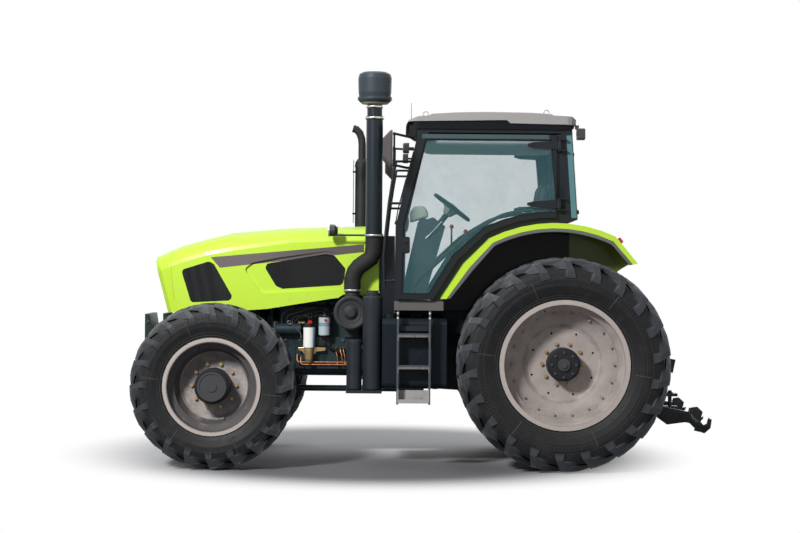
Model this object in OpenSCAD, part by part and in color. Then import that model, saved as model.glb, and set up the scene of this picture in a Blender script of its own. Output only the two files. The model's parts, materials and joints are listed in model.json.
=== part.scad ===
// Farm tractor with a glass cab, a one-piece hood and a rear three-point linkage.
// +X is forward, +Y is the left side and +Z is up, in millimetres.
// Lengths along X are measured from the rear axle, heights from the ground.

/* [Stance] */
// Distance from the rear axle to the front axle
wheelbase = 2740; // [2600:10:2900]
// Distance between the middles of the rear tyres
rear_track = 1650; // [1630:10:1760]
// Distance between the middles of the front tyres
front_track = 1700; // [1680:10:1800]

/* [Rear wheels] */
// Radius over the lugs
rear_tyre_r = 840; // [820:5:860]
// Width over the sidewalls
rear_tyre_w = 430; // [400:5:440]
// Radius over the rim's flanges
rear_rim_r = 508; // [480:2:530]
// Height of a lug
rear_lug_h = 42; // [30:1:50]
// Lugs on one side of the tread
rear_lug_count = 22; // [16:1:26]
// Width of a lug
rear_lug_w = 60; // [40:2:66]
// Radius of the flat middle of the disc
rear_disc_r = 286; // [240:2:320]
// Radius of the hub
rear_hub_r = 130; // [110:2:140]

/* [Front wheels] */
// Radius over the lugs
front_tyre_r = 650; // [630:5:665]
// Width over the sidewalls
front_tyre_w = 345; // [320:5:360]
// Radius over the rim's flanges
front_rim_r = 381; // [360:2:400]
// Height of a lug
front_lug_h = 36; // [25:1:42]
// Lugs on one side of the tread
front_lug_count = 20; // [14:1:24]
// Width of a lug
front_lug_w = 50; // [36:2:58]
// Radius of the flat middle of the disc
front_disc_r = 257; // [230:2:280]
// Radius of the hub
front_hub_r = 138; // [120:2:145]

/* [Axles and steering] */
// Distance of a kingpin from the middle
kingpin_y = 690; // [670:5:700]
// Radius of a kingpin
kingpin_r = 24; // [18:1:30]
// Radius of the wheel shafts
shaft_r = 42; // [36:1:48]
// Radius of the front axle's tubes
front_tube_r = 72; // [60:1:80]
// Radius of the rear axle's tubes
rear_tube_r = 110; // [90:1:130]
// Length of a steering arm
steer_arm = 150; // [130:5:170]

/* [Drive line] */
// Width of the gearbox and the rear housing
case_w = 400; // [340:10:440]
// Width of the engine
engine_w = 440; // [380:10:480]
// Height of the engine's top
engine_top = 1420; // [1350:10:1480]
// Distance between the outer faces of the front frame's rails
frame_w = 440; // [380:10:460]

/* [Hood] */
// Length along X from the rear axle to the hood's rear edge
hood_rear_x = 1455; // [1450:5:1480]
// Length along X from the rear axle to the nose
hood_front_x = 3290; // [3240:5:3320]
// Half width at the rear
hood_half_w = 430; // [410:5:432]
// Half width at the nose
nose_half_w = 335; // [300:5:360]
// Height of the ridge at the rear
hood_top = 1921; // [1890:5:1950]
// Sheet thickness with its inner lining
hood_wall = 26; // [24:1:30]

/* [Cab] */
// Half width over the side glass
cab_half_w = 800; // [770:5:815]
// Height of the cab floor's top
floor_z = 1330; // [1320:5:1345]
// Height of the top of the roof's crown
roof_top = 2830; // [2810:5:2860]
// Width of a pillar
pillar_w = 62; // [50:2:70]
// Thickness of a door
door_t = 30; // [26:1:34]
// Thickness of a pane
glass_t = 8; // [6:1:10]
// Radius of the fender's arc
fender_r = 1115; // [1090:5:1130]
// Distance of a fender's outer edge from the middle
fender_edge_y = 1000; // [960:5:1020]

/* [Intake and exhaust] */
// Distance of the intake stack from the middle
stack_y = 520; // [515:5:560]
// Radius of the intake stack
stack_r = 67; // [55:1:72]
// Height of the top of the pre-cleaner
stack_top = 3155; // [3100:5:3200]
// Radius of the pre-cleaner
bowl_r = 138; // [120:1:150]
// Radius of the air cleaner
cleaner_r = 137; // [120:1:145]
// Radius of the muffler
muffler_r = 58; // [50:1:64]
// Height of the top of the exhaust pipe
exhaust_top = 2791; // [2700:5:2850]

/* [Tanks and steps] */
// Width of a fuel tank
tank_w = 330; // [280:5:340]
// Height of a fuel tank
tank_h = 552; // [500:5:560]
// Width of a step
step_w = 250; // [220:5:260]
// Height of the lowest step's tread
lowest_step_z = 530; // [480:5:560]

/* [Rear linkage] */
// Length of a lower link from its pivot to its hook
lower_link = 974; // [920:2:1000]
// Length of a lift arm
lift_arm = 320; // [300:5:340]
// Thickness of a lower link
link_t = 34; // [28:1:40]

/* [Hidden] */
$fn = 64;

// Running gap between pieces that move past each other
gap = 5;
// Clearance round a pin or a shaft
fit = 0.4;

// Places of the rear linkage's pivots
rock_x = -330;
rock_z = 1130;
rock_r = 45;
link_x = -250;
link_z = 553;
link_y = 250;
link_hook_y = 450;
hook_z = 355;
hook_r = 52;
hook_bore_r = 32;
pin_r = 16;
rod_pin_r = 12;
top_x = -360;
top_z = 920;
top_drop = 11;
pto_r = 17.5;
pto_length = 76;
pto_z = 690;
// Angles of a lower link down from level and out to the side
link_drop = asin((link_z - hook_z) / lower_link);
link_splay = asin((link_hook_y - link_y) / (lower_link * cos(link_drop)));

// Reach of the hooks behind the rear axle, and the shift that centres the whole length on X = 0
hook_reach = -link_x + (lower_link * cos(link_drop) + hook_r) * cos(link_splay) + link_t / 2 * sin(link_splay);
rear_axle_x = -(wheelbase + front_tyre_r - hook_reach) / 2;
rear_y = rear_track / 2;
front_y = front_track / 2;

// General shapes

// Moves what is built from the rear axle into the part's own frame
module from_axle() {
  translate([rear_axle_x, 0, 0]) children();
}

// Box between two corners
module block(x, y, z) {
  translate([x[0], y[0], z[0]]) cube([x[1] - x[0], y[1] - y[0], z[1] - z[0]]);
}

// Cylinder along Y
module rod_y(r, y, x, z) {
  translate([x, y[0], z]) rotate([-90, 0, 0]) cylinder(r = r, h = y[1] - y[0]);
}

// Cylinder along Z
module rod_z(r, z, x, y) {
  translate([x, y, z[0]]) cylinder(r = r, h = z[1] - z[0]);
}

// Cylinder from one point to another
module strut(from, to, r) {
  run = to - from;
  translate(from) rotate([0, acos(run[2] / norm(run)), atan2(run[1], run[0])]) cylinder(r = r, h = norm(run));
}

// Cylinder along X
module rod_x(r, x, y, z) {
  translate([x[0], y, z]) rotate([0, 90, 0]) cylinder(r = r, h = x[1] - x[0]);
}

// Outline in the X and Z plane, extruded across Y
module side_plate(points, y) {
  translate([0, y[1], 0]) rotate([90, 0, 0]) linear_extrude(y[1] - y[0]) polygon(points);
}

// Outline in the Y and Z plane, extruded along X
module end_plate(points, x) {
  translate([x[0], 0, 0]) rotate([90, 0, 90]) linear_extrude(x[1] - x[0]) polygon(points);
}

// Outline of radius and height, turned about an axis along Y that points outwards
module turned_y(points, x, y, z) {
  translate([x, y, z]) rotate([-90, 0, 0]) rotate_extrude() polygon(points);
}

// The same piece on both sides
module both_sides() {
  children();
  mirror([0, 1, 0]) children();
}

function lerp(a, b, t) = a + (b - a) * t;

// Corners of a rectangle
function corners(x, z) = [[x[0], z[0]], [x[1], z[0]], [x[1], z[1]], [x[0], z[1]]];

// Outline with each corner rounded to a radius
function rounded(p, r, n = 3) = [for (i = [0:len(p) - 1])
  let(b = p[i], to_a = p[(i + len(p) - 1) % len(p)] - b, to_c = p[(i + 1) % len(p)] - b,
    u = to_a / norm(to_a), v = to_c / norm(to_c), half = acos(u * v) / 2,
    cut = min(r / tan(half), 0.45 * norm(to_a), 0.45 * norm(to_c)), rr = cut * tan(half),
    centre = b + (u + v) / norm(u + v) * rr / sin(half))
  for (k = [0:n]) let(d = lerp(b + u * cut - centre, b + v * cut - centre, k / n))
    centre + rr * d / norm(d)];

// Points of an arc in a plane, from angle a0 to a1
function arc(cx, cz, r, a0, a1, n) =
  [for (i = [0:n]) let(a = lerp(a0, a1, i / n)) [cx + r * cos(a), cz + r * sin(a)]];

// Direction of a path at one of its points, as a unit vector
function path_dir(p, i) =
  let(a = p[max(i - 1, 0)], b = p[min(i + 1, len(p) - 1)], d = b - a) d / norm(d);

// Round tube along a path in the X and Z plane
module bent_tube(path, r, y, sides = 24) {
  rings = [for (i = [0:len(path) - 1]) let(d = path_dir(path, i))
    for (k = [0:sides - 1]) let(a = 360 * k / sides)
      [path[i][0] - d[1] * r * cos(a), y + r * sin(a), path[i][1] + d[0] * r * cos(a)]];
  last = (len(path) - 1) * sides;
  walls = [for (i = [0:len(path) - 2]) for (k = [0:sides - 1])
    let(a = i * sides + k, b = i * sides + (k + 1) % sides)
    each [[a, b, b + sides], [a, b + sides, a + sides]]];
  ends = [[for (k = [sides - 1:-1:0]) k], [for (k = [0:sides - 1]) last + k]];
  polyhedron(points = rings, faces = concat(walls, ends), convexity = 6);
}

// Wheels

// Walls of the tyres, and how they seat on the rims
tyre_wall = 26;
tyre_drop = 30;
bead_seat = 24;
lug_sweep = 17;
function tread_half(w) = 0.44 * w;
function bead_half(w) = 0.41 * w;

// Section of a tyre as radius and distance across
module tyre_section(r, w, rim_r, lug_h) {
  tread = tread_half(w);
  bead = bead_half(w);
  bead_r = rim_r - bead_seat;
  foot_r = rim_r + 6;
  crown = r - lug_h;
  shoulder = crown - tyre_drop;
  function side_y(t) = lerp(tread, bead, t) + (w / 2 - lerp(tread, bead, 0.45)) * sin(180 * t);
  function crown_r(t) = crown - tyre_drop * t * t;
  outer = concat([[bead_r, -bead]],
    [for (k = [5:-1:1]) [lerp(shoulder, foot_r, k / 5), -side_y(k / 5)]],
    [for (k = [-3:3]) [crown_r(k / 3), k / 3 * tread]],
    [for (k = [1:5]) [lerp(shoulder, foot_r, k / 5), side_y(k / 5)]],
    [[bead_r, bead]]);
  inner = concat([[bead_r, bead - tyre_wall]],
    [for (k = [5:-1:1]) [lerp(shoulder - tyre_wall, foot_r, k / 5), side_y(k / 5) - tyre_wall]],
    [for (k = [3:-1:-3]) [crown_r(k / 3) - tyre_wall, k / 3 * (tread - tyre_wall)]],
    [for (k = [1:5]) [lerp(shoulder - tyre_wall, foot_r, k / 5), -side_y(k / 5) + tyre_wall]],
    [[bead_r, -bead + tyre_wall]]);
  polygon(concat(outer, inner));
}

// One lug, a wedge swept back from the middle of the tread over its shoulder; side is 1 or -1
module lug(r, w, lug_h, lug_w, side) {
  tread = tread_half(w);
  // Distance across, outer and inner radius and share of the sweep, at four places along it
  places = [
    [-0.08 * tread, r, r - lug_h - 12, 0],
    [0.5 * tread, r - 4, r - lug_h - 20, 0.45],
    [0.94 * tread, r - 15, r - lug_h - 45, 0.88],
    [w / 2 + 3, r - lug_h - 60, r - lug_h - 118, 1.05]];
  // Half widths of the foot and of the top, as shares of the lug's width, with the radius they use
  edges = [[-0.65, 2], [0.65, 2], [0.42, 1], [-0.42, 1]];
  points = [for (p = places) for (e = edges)
    let(a = -p[3] * lug_sweep + e[0] * lug_w / p[e[1]] * 180 / PI)
    [p[e[1]] * cos(a), p[e[1]] * sin(a), side * p[0]]];
  walls = [for (i = [0:2]) for (k = [0:3])
    let(a = 4 * i + k, b = 4 * i + (k + 1) % 4)
    each [[a, b, b + 4], [a, b + 4, a + 4]]];
  faces = concat(walls, [[0, 3, 2], [0, 2, 1], [12, 13, 14], [12, 14, 15]]);
  polyhedron(points = points, faces = side > 0 ? faces : [for (f = faces) [f[0], f[2], f[1]]], convexity = 4);
}

// Tyre with two rows of lugs; one lug's edge stands exactly on the ground
module tyre(r, w, rim_r, lug_h, lug_w, count, y) {
  first = 90 - 0.42 * lug_w / r * 180 / PI;
  color("dimgray") translate([0, y, r]) rotate([-90, 0, 0]) {
    rotate_extrude($fn = 96) tyre_section(r, w, rim_r, lug_h);
    for (i = [0:count - 1]) rotate(first + i * 360 / count) {
      lug(r, w, lug_h, lug_w, 1);
      rotate(180 / count) lug(r, w, lug_h, lug_w, -1);
    }
  }
}

// Rim, dished disc, hub and nuts, turned about an axis that points outwards
disc_t = 12;
rim_well = 46;
rim_flange = 10;
nut_r = 15;
nut_h = 22;

module wheel(w, rim_r, disc_r, hub_r, disc_y, hub_end, nut_ring, nuts) {
  bead = bead_half(w);
  barrel_r = rim_r - bead_seat;
  inner_r = barrel_r - disc_t;
  well_r = inner_r - rim_well;
  edge = bead + rim_flange;
  step = 0.55 * bead;
  flat = 0.4 * bead;
  rim = [[rim_r, bead], [rim_r, edge], [inner_r, edge], [inner_r, step], [well_r, flat], [well_r, -flat],
    [inner_r, -step], [inner_r, -edge], [rim_r, -edge], [rim_r, -bead], [barrel_r, -bead],
    [barrel_r, -step], [barrel_r - rim_well, -flat], [barrel_r - rim_well, flat], [barrel_r, step], [barrel_r, bead]];
  face = disc_y + disc_t;
  disc = [[shaft_r + fit, disc_y], [disc_r, disc_y], [well_r, disc_y + dish], [well_r, disc_y + dish + 1.6 * disc_t],
    [disc_r - 6, face], [hub_r, face], [hub_r, hub_end - 14], [hub_r - 14, hub_end], [0, hub_end],
    [0, disc_y + 62], [shaft_r + fit, disc_y + 62]];
  rotate_extrude($fn = 96) polygon(rim);
  rotate_extrude($fn = 96) polygon(disc);
  for (i = [0:nuts - 1]) rotate(i * 360 / nuts) translate([nut_ring, 0, face - 2]) cylinder(r = nut_r, h = nut_h, $fn = 6);
}

// Puts what is built about an outward axis at a wheel's place; side is 1 on the left and -1 on the right
module at_wheel(r, y, side) {
  color("silver") translate([0, side * y, r]) mirror([0, side < 0 ? 1 : 0, 0]) rotate([-90, 0, 0]) children();
}

rear_disc_y = -60;
rear_hub_end = 90;
front_disc_y = -72;
front_hub_end = 118;

rear_nut_ring = 165;
rear_hole_ring = 255;
rear_stud_ring = 398;
dish = 70;

module rear_wheel(side) {
  face = rear_disc_y + disc_t;
  at_wheel(rear_tyre_r, rear_y, side) {
    difference() {
      wheel(rear_tyre_w, rear_rim_r, rear_disc_r, rear_hub_r, rear_disc_y, rear_hub_end, rear_nut_ring, 10);
      for (i = [0:7]) rotate(i * 45 + 20) translate([rear_hole_ring, 0, rear_disc_y - 5]) cylinder(r = 9, h = disc_t + 10);
    }
    // Studs round the dish, bolts of the hub and its cap
    for (i = [0:17]) rotate(i * 20) translate([rear_stud_ring, 0, rear_disc_y + 50]) cylinder(r = 10, h = 46);
    for (i = [0:7]) rotate(i * 45) translate([rear_hub_r - 34, 0, rear_hub_end - 4]) cylinder(r = 12, h = 16, $fn = 6);
    translate([0, 0, rear_hub_end - 4]) cylinder(r = 48, h = 18);
    translate([0, 0, rear_hub_end + 10]) cylinder(r = 26, h = 14);
  }
}

front_nut_ring = 175;

module front_wheel(side) {
  at_wheel(front_tyre_r, front_y, side) {
    wheel(front_tyre_w, front_rim_r, front_disc_r, front_hub_r, front_disc_y, front_hub_end, front_nut_ring, 10);
    // Rings and boss of the hub's cap
    translate([0, 0, front_hub_end - 4]) difference() {
      cylinder(r = front_hub_r - 24, h = 14);
      translate([0, 0, 8]) cylinder(r = front_hub_r - 40, h = 10);
    }
    translate([0, 0, front_hub_end - 4]) cylinder(r = 40, h = 16);
    // Guard of the valve, on the dish's edge
    rotate(100) translate([front_disc_r + 4, 0, front_disc_y + 30])
      linear_extrude(46) polygon([[0, -44], [60, -26], [60, 26], [0, 44]]);
  }
}

module rear_tyre(y) from_axle()
  tyre(rear_tyre_r, rear_tyre_w, rear_rim_r, rear_lug_h, rear_lug_w, rear_lug_count, y);
module front_tyre(y) at_front()
  tyre(front_tyre_r, front_tyre_w, front_rim_r, front_lug_h, front_lug_w, front_lug_count, y);
module rear_left_tyre() rear_tyre(rear_y);
module rear_right_tyre() rear_tyre(-rear_y);
module rear_left_rim() from_axle() rear_wheel(1);
module rear_right_rim() from_axle() rear_wheel(-1);
module at_front() from_axle() translate([wheelbase, 0, 0]) children();
module front_left_tyre() front_tyre(front_y);
module front_right_tyre() front_tyre(-front_y);
module front_left_rim() at_front() front_wheel(1);
module front_right_rim() at_front() front_wheel(-1);

// Chassis

// Heights and lengths along the drive line
engine_x = [1500, wheelbase - 410];
frame_x = [engine_x[1], wheelbase + 573];
pump_x = 2090;
frame_z = [770, 900];
case_top = 1180;
sump_z = 690;
deck_z = 1010;
crank_z = 1000;
fan_z = 1250;
fan_r = 215;
shaft_z = 575;
// Four bolt holes in the front bracket, on a square
front_bolts = 140;
front_bolts_z = 985;
front_hole_r = 9;
bracket_low = 730;
bracket_top = 1185;

module engine() {
  half = engine_w / 2;
  head_half = half - 50;
  cover_half = half - 90;
  color("darkslategray") from_axle() {
    // Sump, crankcase, head and rocker cover
    end_plate(rounded(corners([-half + 50, half - 50], [sump_z, sump_z + 120]), 30), [engine_x[0], engine_x[1] - 160]);
    block(engine_x, [-half, half], [frame_z[0] - 20, deck_z]);
    block([engine_x[0] + 60, engine_x[1] - 60], [-head_half, head_half], [deck_z, engine_top - 90]);
    end_plate(rounded(corners([-cover_half, cover_half], [engine_top - 120, engine_top]), 36),
      [engine_x[0] + 90, engine_x[1] - 90]);
    // Ribs along the crankcase
    for (i = [0:6]) both_sides()
      block([engine_x[0] + 50 + i * 118, engine_x[0] + 66 + i * 118], [half - 2, half + 8], [frame_z[0], frame_z[1] + 25]);
    // Intake manifold, injection pump, exhaust manifold and starter
    rod_x(34, [engine_x[0] + 120, engine_x[1] - 110], head_half + 24, engine_top - 130);
    for (i = [0:3]) block([engine_x[0] + 150 + i * 150, engine_x[0] + 200 + i * 150], [head_half - 2, head_half + 22],
      [engine_top - 150, engine_top - 105]);
    rod_x(46, [pump_x, pump_x + 200], half + 42, deck_z + 65);
    block([pump_x + 10, pump_x + 190], [head_half - 10, half + 10], [deck_z - 2, deck_z + 50]);
    rod_x(40, [engine_x[0] + 190, engine_x[1] - 110], -head_half - 20, engine_top - 150);
    rod_x(52, [engine_x[0] + 10, engine_x[0] + 240], -half - 30, frame_z[0] + 60);
    // Timing cover, pulleys, alternator and fan
    end_plate(rounded(corners([-160, 160], [frame_z[1] + 5, fan_z + 60]), 60), [engine_x[1] - 1, engine_x[1] + 20]);
    rod_x(88, [engine_x[1] + 20, engine_x[1] + 54], 0, crank_z);
    rod_x(60, [engine_x[1] + 20, engine_x[1] + 54], 0, fan_z);
    rod_x(62, [engine_x[1] - 80, engine_x[1] + 15], -head_half - 30, deck_z + 170);
    rod_x(50, [engine_x[1] + 54, engine_x[1] + 92], 0, fan_z);
    for (a = [0:60:300]) translate([engine_x[1] + 74, 0, fan_z]) rotate([a, 0, 0]) rotate([0, 0, 28])
      block([-3, 3], [-46, 46], [40, fan_r]);
  }
}

module gearbox() {
  half = case_w / 2;
  color("darkslategray") from_axle() {
    side_plate([[420, 560], [1100, 600], [engine_x[0] - 60, 650], [engine_x[0], sump_z], [engine_x[0], deck_z],
      [engine_x[0] - 200, 1060], [420, 1060]], [-half, half]);
    // Joint flanges and side covers
    block([880, 906], [-half - 12, half + 12], [612, 1072]);
    block([engine_x[0] - 26, engine_x[0]], [-half - 14, half + 14], [frame_z[0], deck_z - 6]);
    rod_y(96, [-half - 12, half + 12], 660, 850);
    rod_y(60, [-half - 16, half + 16], 660, 850);
    for (x = [1010, 1110, 1210]) block([x, x + 14], [-half - 8, half + 8], [790, 1000]);
    // Drop box and shaft to the front axle
    block([1080, 1250], [-90, 90], [shaft_z - 55, 660]);
    rod_x(25, [1250, wheelbase - pinion_reach], 0, shaft_z);
    rod_x(38, [1250, 1290], 0, shaft_z);
    rod_x(38, [wheelbase - pinion_reach - 44, wheelbase - pinion_reach - 2], 0, shaft_z);
  }
}

// Rear housing with its two axle tubes, the rockshaft's tube and the link brackets
module rear_axle() {
  tube_end = rear_y + rear_disc_y - gap;
  color("darkslategray") from_axle() difference() {
    union() {
      side_plate([[-290, 560], [420, 560], [420, case_top], [-100, case_top], [-290, 1060]],
        [-case_w / 2, case_w / 2]);
      rod_y(rear_tube_r, [-tube_end + 120, tube_end - 120], 0, rear_tyre_r);
      rod_y(rear_tube_r + 34, [-case_w / 2 - 70, case_w / 2 + 70], 0, rear_tyre_r);
      block([394, 420], [-case_w / 2 - 12, case_w / 2 + 12], [572, case_top - 20]);
      both_sides() rod_y(rear_hub_r + 10, [tube_end - 120, tube_end], 0, rear_tyre_r);
      rod_y(rock_r + 30, [-case_w / 2 + 30, case_w / 2 - 30], rock_x, rock_z);
      block([rock_x, -200], [-case_w / 2 + 30, case_w / 2 - 30], [rock_z - 70, rock_z + 50]);
      both_sides() rod_y(shaft_r, [tube_end, rear_y + rear_disc_y + 55], 0, rear_tyre_r);
      both_sides() block([link_x - 40, -150], [case_w / 2 - 60, link_y - link_t / 2 - gap], [link_z - 40, 640]);
      both_sides() rod_y(pin_r, [link_y - link_t / 2 - gap, link_y + link_t], link_x, link_z);
      // Power take-off shaft
      rod_x(pto_r, [-290 - pto_length, -290], 0, pto_z);
      // Ears and pin of the top link
      both_sides() block([top_x - 40, -290], [32, 50], [top_z - 40, top_z + 40]);
      rod_y(pin_r, [-50, 50], top_x, top_z);
    }
    rod_y(rock_r + fit, [-case_w, case_w], rock_x, rock_z);
  }
}

// Front frame with its cross plates and the weight bracket
module front_frame() {
  rail_t = 40;
  cross_x = frame_x[1] - 116;
  color("darkslategray") from_axle() {
    both_sides() block(frame_x, [frame_w / 2 - rail_t, frame_w / 2], frame_z);
    block([frame_x[0], frame_x[0] + 60], [-frame_w / 2 + rail_t, frame_w / 2 - rail_t], frame_z);
    block([wheelbase - 130, wheelbase + 130], [-frame_w / 2 + rail_t, frame_w / 2 - rail_t], frame_z);
    difference() {
      side_plate([[frame_x[1], bracket_low], [frame_x[1] + 59, bracket_low], [frame_x[1] + 59, bracket_top],
        [frame_x[1] + 20, bracket_top], [frame_x[1], 1060]], [-frame_w / 2, frame_w / 2]);
      for (y = [-1, 1]) for (z = [-1, 1])
        rod_x(front_hole_r, [frame_x[1] - 10, frame_x[1] + 70], y * front_bolts / 2, front_bolts_z + z * front_bolts / 2);
    }
    block([cross_x, cross_x + 32], [-frame_w / 2 + rail_t, frame_w / 2 - rail_t], [frame_z[0], bracket_top + 5]);
    block([cross_x + 32, frame_x[1]], [-60, 60], frame_z);
  }
}

// Front axle with its forked ends, kingpins and steering cylinder
pinion_reach = 230;
steer_rod_r = 16;

module front_axle() {
  fork_y = kingpin_y - 80;
  ear_z = [110, 150];
  color("darkslategray") at_front() translate([0, 0, front_tyre_r]) difference() {
    union() {
      rod_y(front_tube_r, [-fork_y, fork_y], 0, 0);
      rod_y(118, [-120, 120], 0, 0);
      rod_y(96, [-170, 170], 0, 0);
      rod_x(45, [-pinion_reach, -40], 0, shaft_z - front_tyre_r);
      block([-90, 90], [-120, 120], [60, frame_z[0] - front_tyre_r]);
      both_sides() {
        block([-60, 60], [fork_y - 40, fork_y], [-ear_z[1], ear_z[1]]);
        for (s = [-1, 1]) translate([0, 0, s > 0 ? ear_z[0] : -ear_z[1]]) {
          block([-60, 60], [fork_y, kingpin_y], [0, ear_z[1] - ear_z[0]]);
          rod_z(60, [0, ear_z[1] - ear_z[0]], 0, kingpin_y);
        }
      }
      // Steering cylinder behind the axle with its two brackets
      difference() {
        rod_y(46, [-210, 210], -150, 20);
        rod_y(steer_rod_r + fit, [-220, 220], -150, 20);
      }
      both_sides() block([-115, -50], [100, 140], [-20, 50]);
    }
    both_sides() rod_z(kingpin_r + fit, [-200, 200], 0, kingpin_y);
  }
}

module knuckle(side) {
  disc_face = front_y + front_disc_y - gap;
  color("darkslategray") at_front() translate([0, 0, front_tyre_r]) mirror([0, side < 0 ? 1 : 0, 0]) {
    rod_z(58, [-105, 105], 0, kingpin_y);
    rod_z(kingpin_r, [-150, 150], 0, kingpin_y);
    rod_y(96, [kingpin_y, disc_face], 0, 0);
    rod_y(shaft_r, [disc_face, disc_face + gap + 55], 0, 0);
    block([-steer_arm, 0], [kingpin_y - 18, kingpin_y + 18], [-40, -10]);
    rod_z(26, [-40, -10], -steer_arm, kingpin_y);
  }
}

module left_knuckle() knuckle(1);
module right_knuckle() knuckle(-1);

module steering_rod() {
  color("silver") at_front() translate([0, 0, front_tyre_r]) {
    rod_y(steer_rod_r, [-kingpin_y + 12, kingpin_y - 12], -steer_arm, 20);
    both_sides() rod_z(26, [-4, 34], -steer_arm, kingpin_y);
  }
}

// Radiator in front of the engine, with its tanks, shroud and the cooler before it
radiator_x = [wheelbase - 270, wheelbase - 180];

module radiator() {
  color("black") from_axle() {
    block(radiator_x, [-260, 260], [frame_z[1], 1600]);
    end_plate(rounded(corners([-256, 256], [1590, 1650]), 20), [radiator_x[0] - 10, radiator_x[1] + 6]);
    rod_z(32, [1640, 1668], radiator_x[0] + 45, 120);
    block([radiator_x[1] - 2, radiator_x[1] + 40], [-250, 250], [frame_z[1] + 40, frame_z[1] + 60]);
    block([radiator_x[1] + 14, radiator_x[1] + 40], [-230, 230], [frame_z[1] + 60, 1480]);
    difference() {
      rod_x(fan_r + 25, [radiator_x[0] - 40, radiator_x[0]], 0, fan_z);
      rod_x(fan_r + 17, [radiator_x[0] - 45, radiator_x[0]], 0, fan_z);
    }
  }
}

// Intake and exhaust

cleaner_x = 1675;
cleaner_z = 1222;
stack_x = 1498;
elbow_top_z = 1830;
elbow_foot_x = 1667;
elbow_foot_z = cleaner_z + cleaner_r + 26;

module air_cleaner() {
  inner_y = engine_w / 2 + 20;
  cap_y = stack_y + 58;
  color("black") from_axle() {
    rod_y(cleaner_r - 4, [inner_y, cap_y], cleaner_x, cleaner_z);
    // Lip, dished cap and its boss
    turned_y([[0, -6], [cleaner_r, -6], [cleaner_r, 14], [cleaner_r - 10, 22], [cleaner_r - 26, 22],
      [cleaner_r - 38, 12], [60, 8], [50, 16], [40, 26], [28, 32], [0, 32]], cleaner_x, cap_y, cleaner_z);
    for (y = [inner_y + 60, cap_y - 60]) rod_y(cleaner_r, [y, y + 24], cleaner_x, cleaner_z);
    rod_y(60, [engine_w / 2, inner_y], cleaner_x, cleaner_z - 120);
    block([cleaner_x - 60, cleaner_x + 60], [engine_w / 2 - 50, inner_y], [deck_z, cleaner_z - 100]);
    rod_z(stack_r - 8, [cleaner_z + cleaner_r - 20, elbow_foot_z], elbow_foot_x, stack_y);
  }
}

// Rubber elbow from the air cleaner to the stack, with a band clamp at each end
module intake_elbow() {
  path = [[stack_x, elbow_top_z], [stack_x, 1770], [stack_x + 4, 1709], [1520, 1660], [1570, 1623], [1615, 1590], [1647, 1549],
    [elbow_foot_x, 1490], [elbow_foot_x, elbow_foot_z]];
  color("black") from_axle() bent_tube(path, stack_r, stack_y);
}

module intake_stack() {
  bowl_z = stack_top - 260;
  color("black") from_axle() {
    rod_z(stack_r, [elbow_top_z, bowl_z - 100], stack_x, stack_y);
    rod_z(stack_r - 6, [bowl_z - 100, bowl_z], stack_x, stack_y);
    for (z = [elbow_top_z, bowl_z - 124]) rod_z(stack_r + 6, [z, z + 24], stack_x, stack_y);
    rod_z(stack_r + 1, [bowl_z - 30, bowl_z - 16], stack_x, stack_y);
    // Pre-cleaner, with a lip low on its side
    translate([stack_x, stack_y, bowl_z]) rotate_extrude() polygon([[0, 0], [bowl_r - 34, 0], [bowl_r - 16, 16],
      [bowl_r, 34], [bowl_r, 54], [bowl_r - 11, 60], [bowl_r - 6, 90], [bowl_r - 3, 205],
      [bowl_r - 12, 238], [bowl_r - 40, 254], [0, 260]]);
  }
}

exhaust_x = 1620;
exhaust_y = -stack_y;

module exhaust() {
  bend = [[exhaust_x, 2500], [exhaust_x, 2640], [exhaust_x + 6, 2690], [exhaust_x + 22, 2735],
    [exhaust_x + 50, 2765], [exhaust_x + 80, exhaust_top - 18]];
  color("dimgray") from_axle() {
    translate([exhaust_x, exhaust_y, 0]) rotate_extrude() polygon([[0, 1230], [34, 1230], [muffler_r, 1256],
      [muffler_r, 2482], [40, 2510], [0, 2510]]);
    for (z = [1420, 1900, 2440]) rod_z(muffler_r + 4, [z, z + 22], exhaust_x, exhaust_y);
    bent_tube(bend, 33, exhaust_y);
    rod_y(33, [exhaust_y + 20, -engine_w / 2 + 50], exhaust_x, 1290);
    // Heat shield with its stand-offs
    block([exhaust_x + muffler_r + 12, exhaust_x + muffler_r + 16], [exhaust_y - 46, exhaust_y + 46], [1960, 2500]);
    for (z = [2040, 2400]) rod_x(8, [exhaust_x, exhaust_x + muffler_r + 22], exhaust_y, z);
  }
}

// Tall and short cylinder on their bracket, and the fuel filters on the engine's side
tall_x = 1499;
tall_y = 700;
short_x = 1642;
bracket_z = 593;

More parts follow.
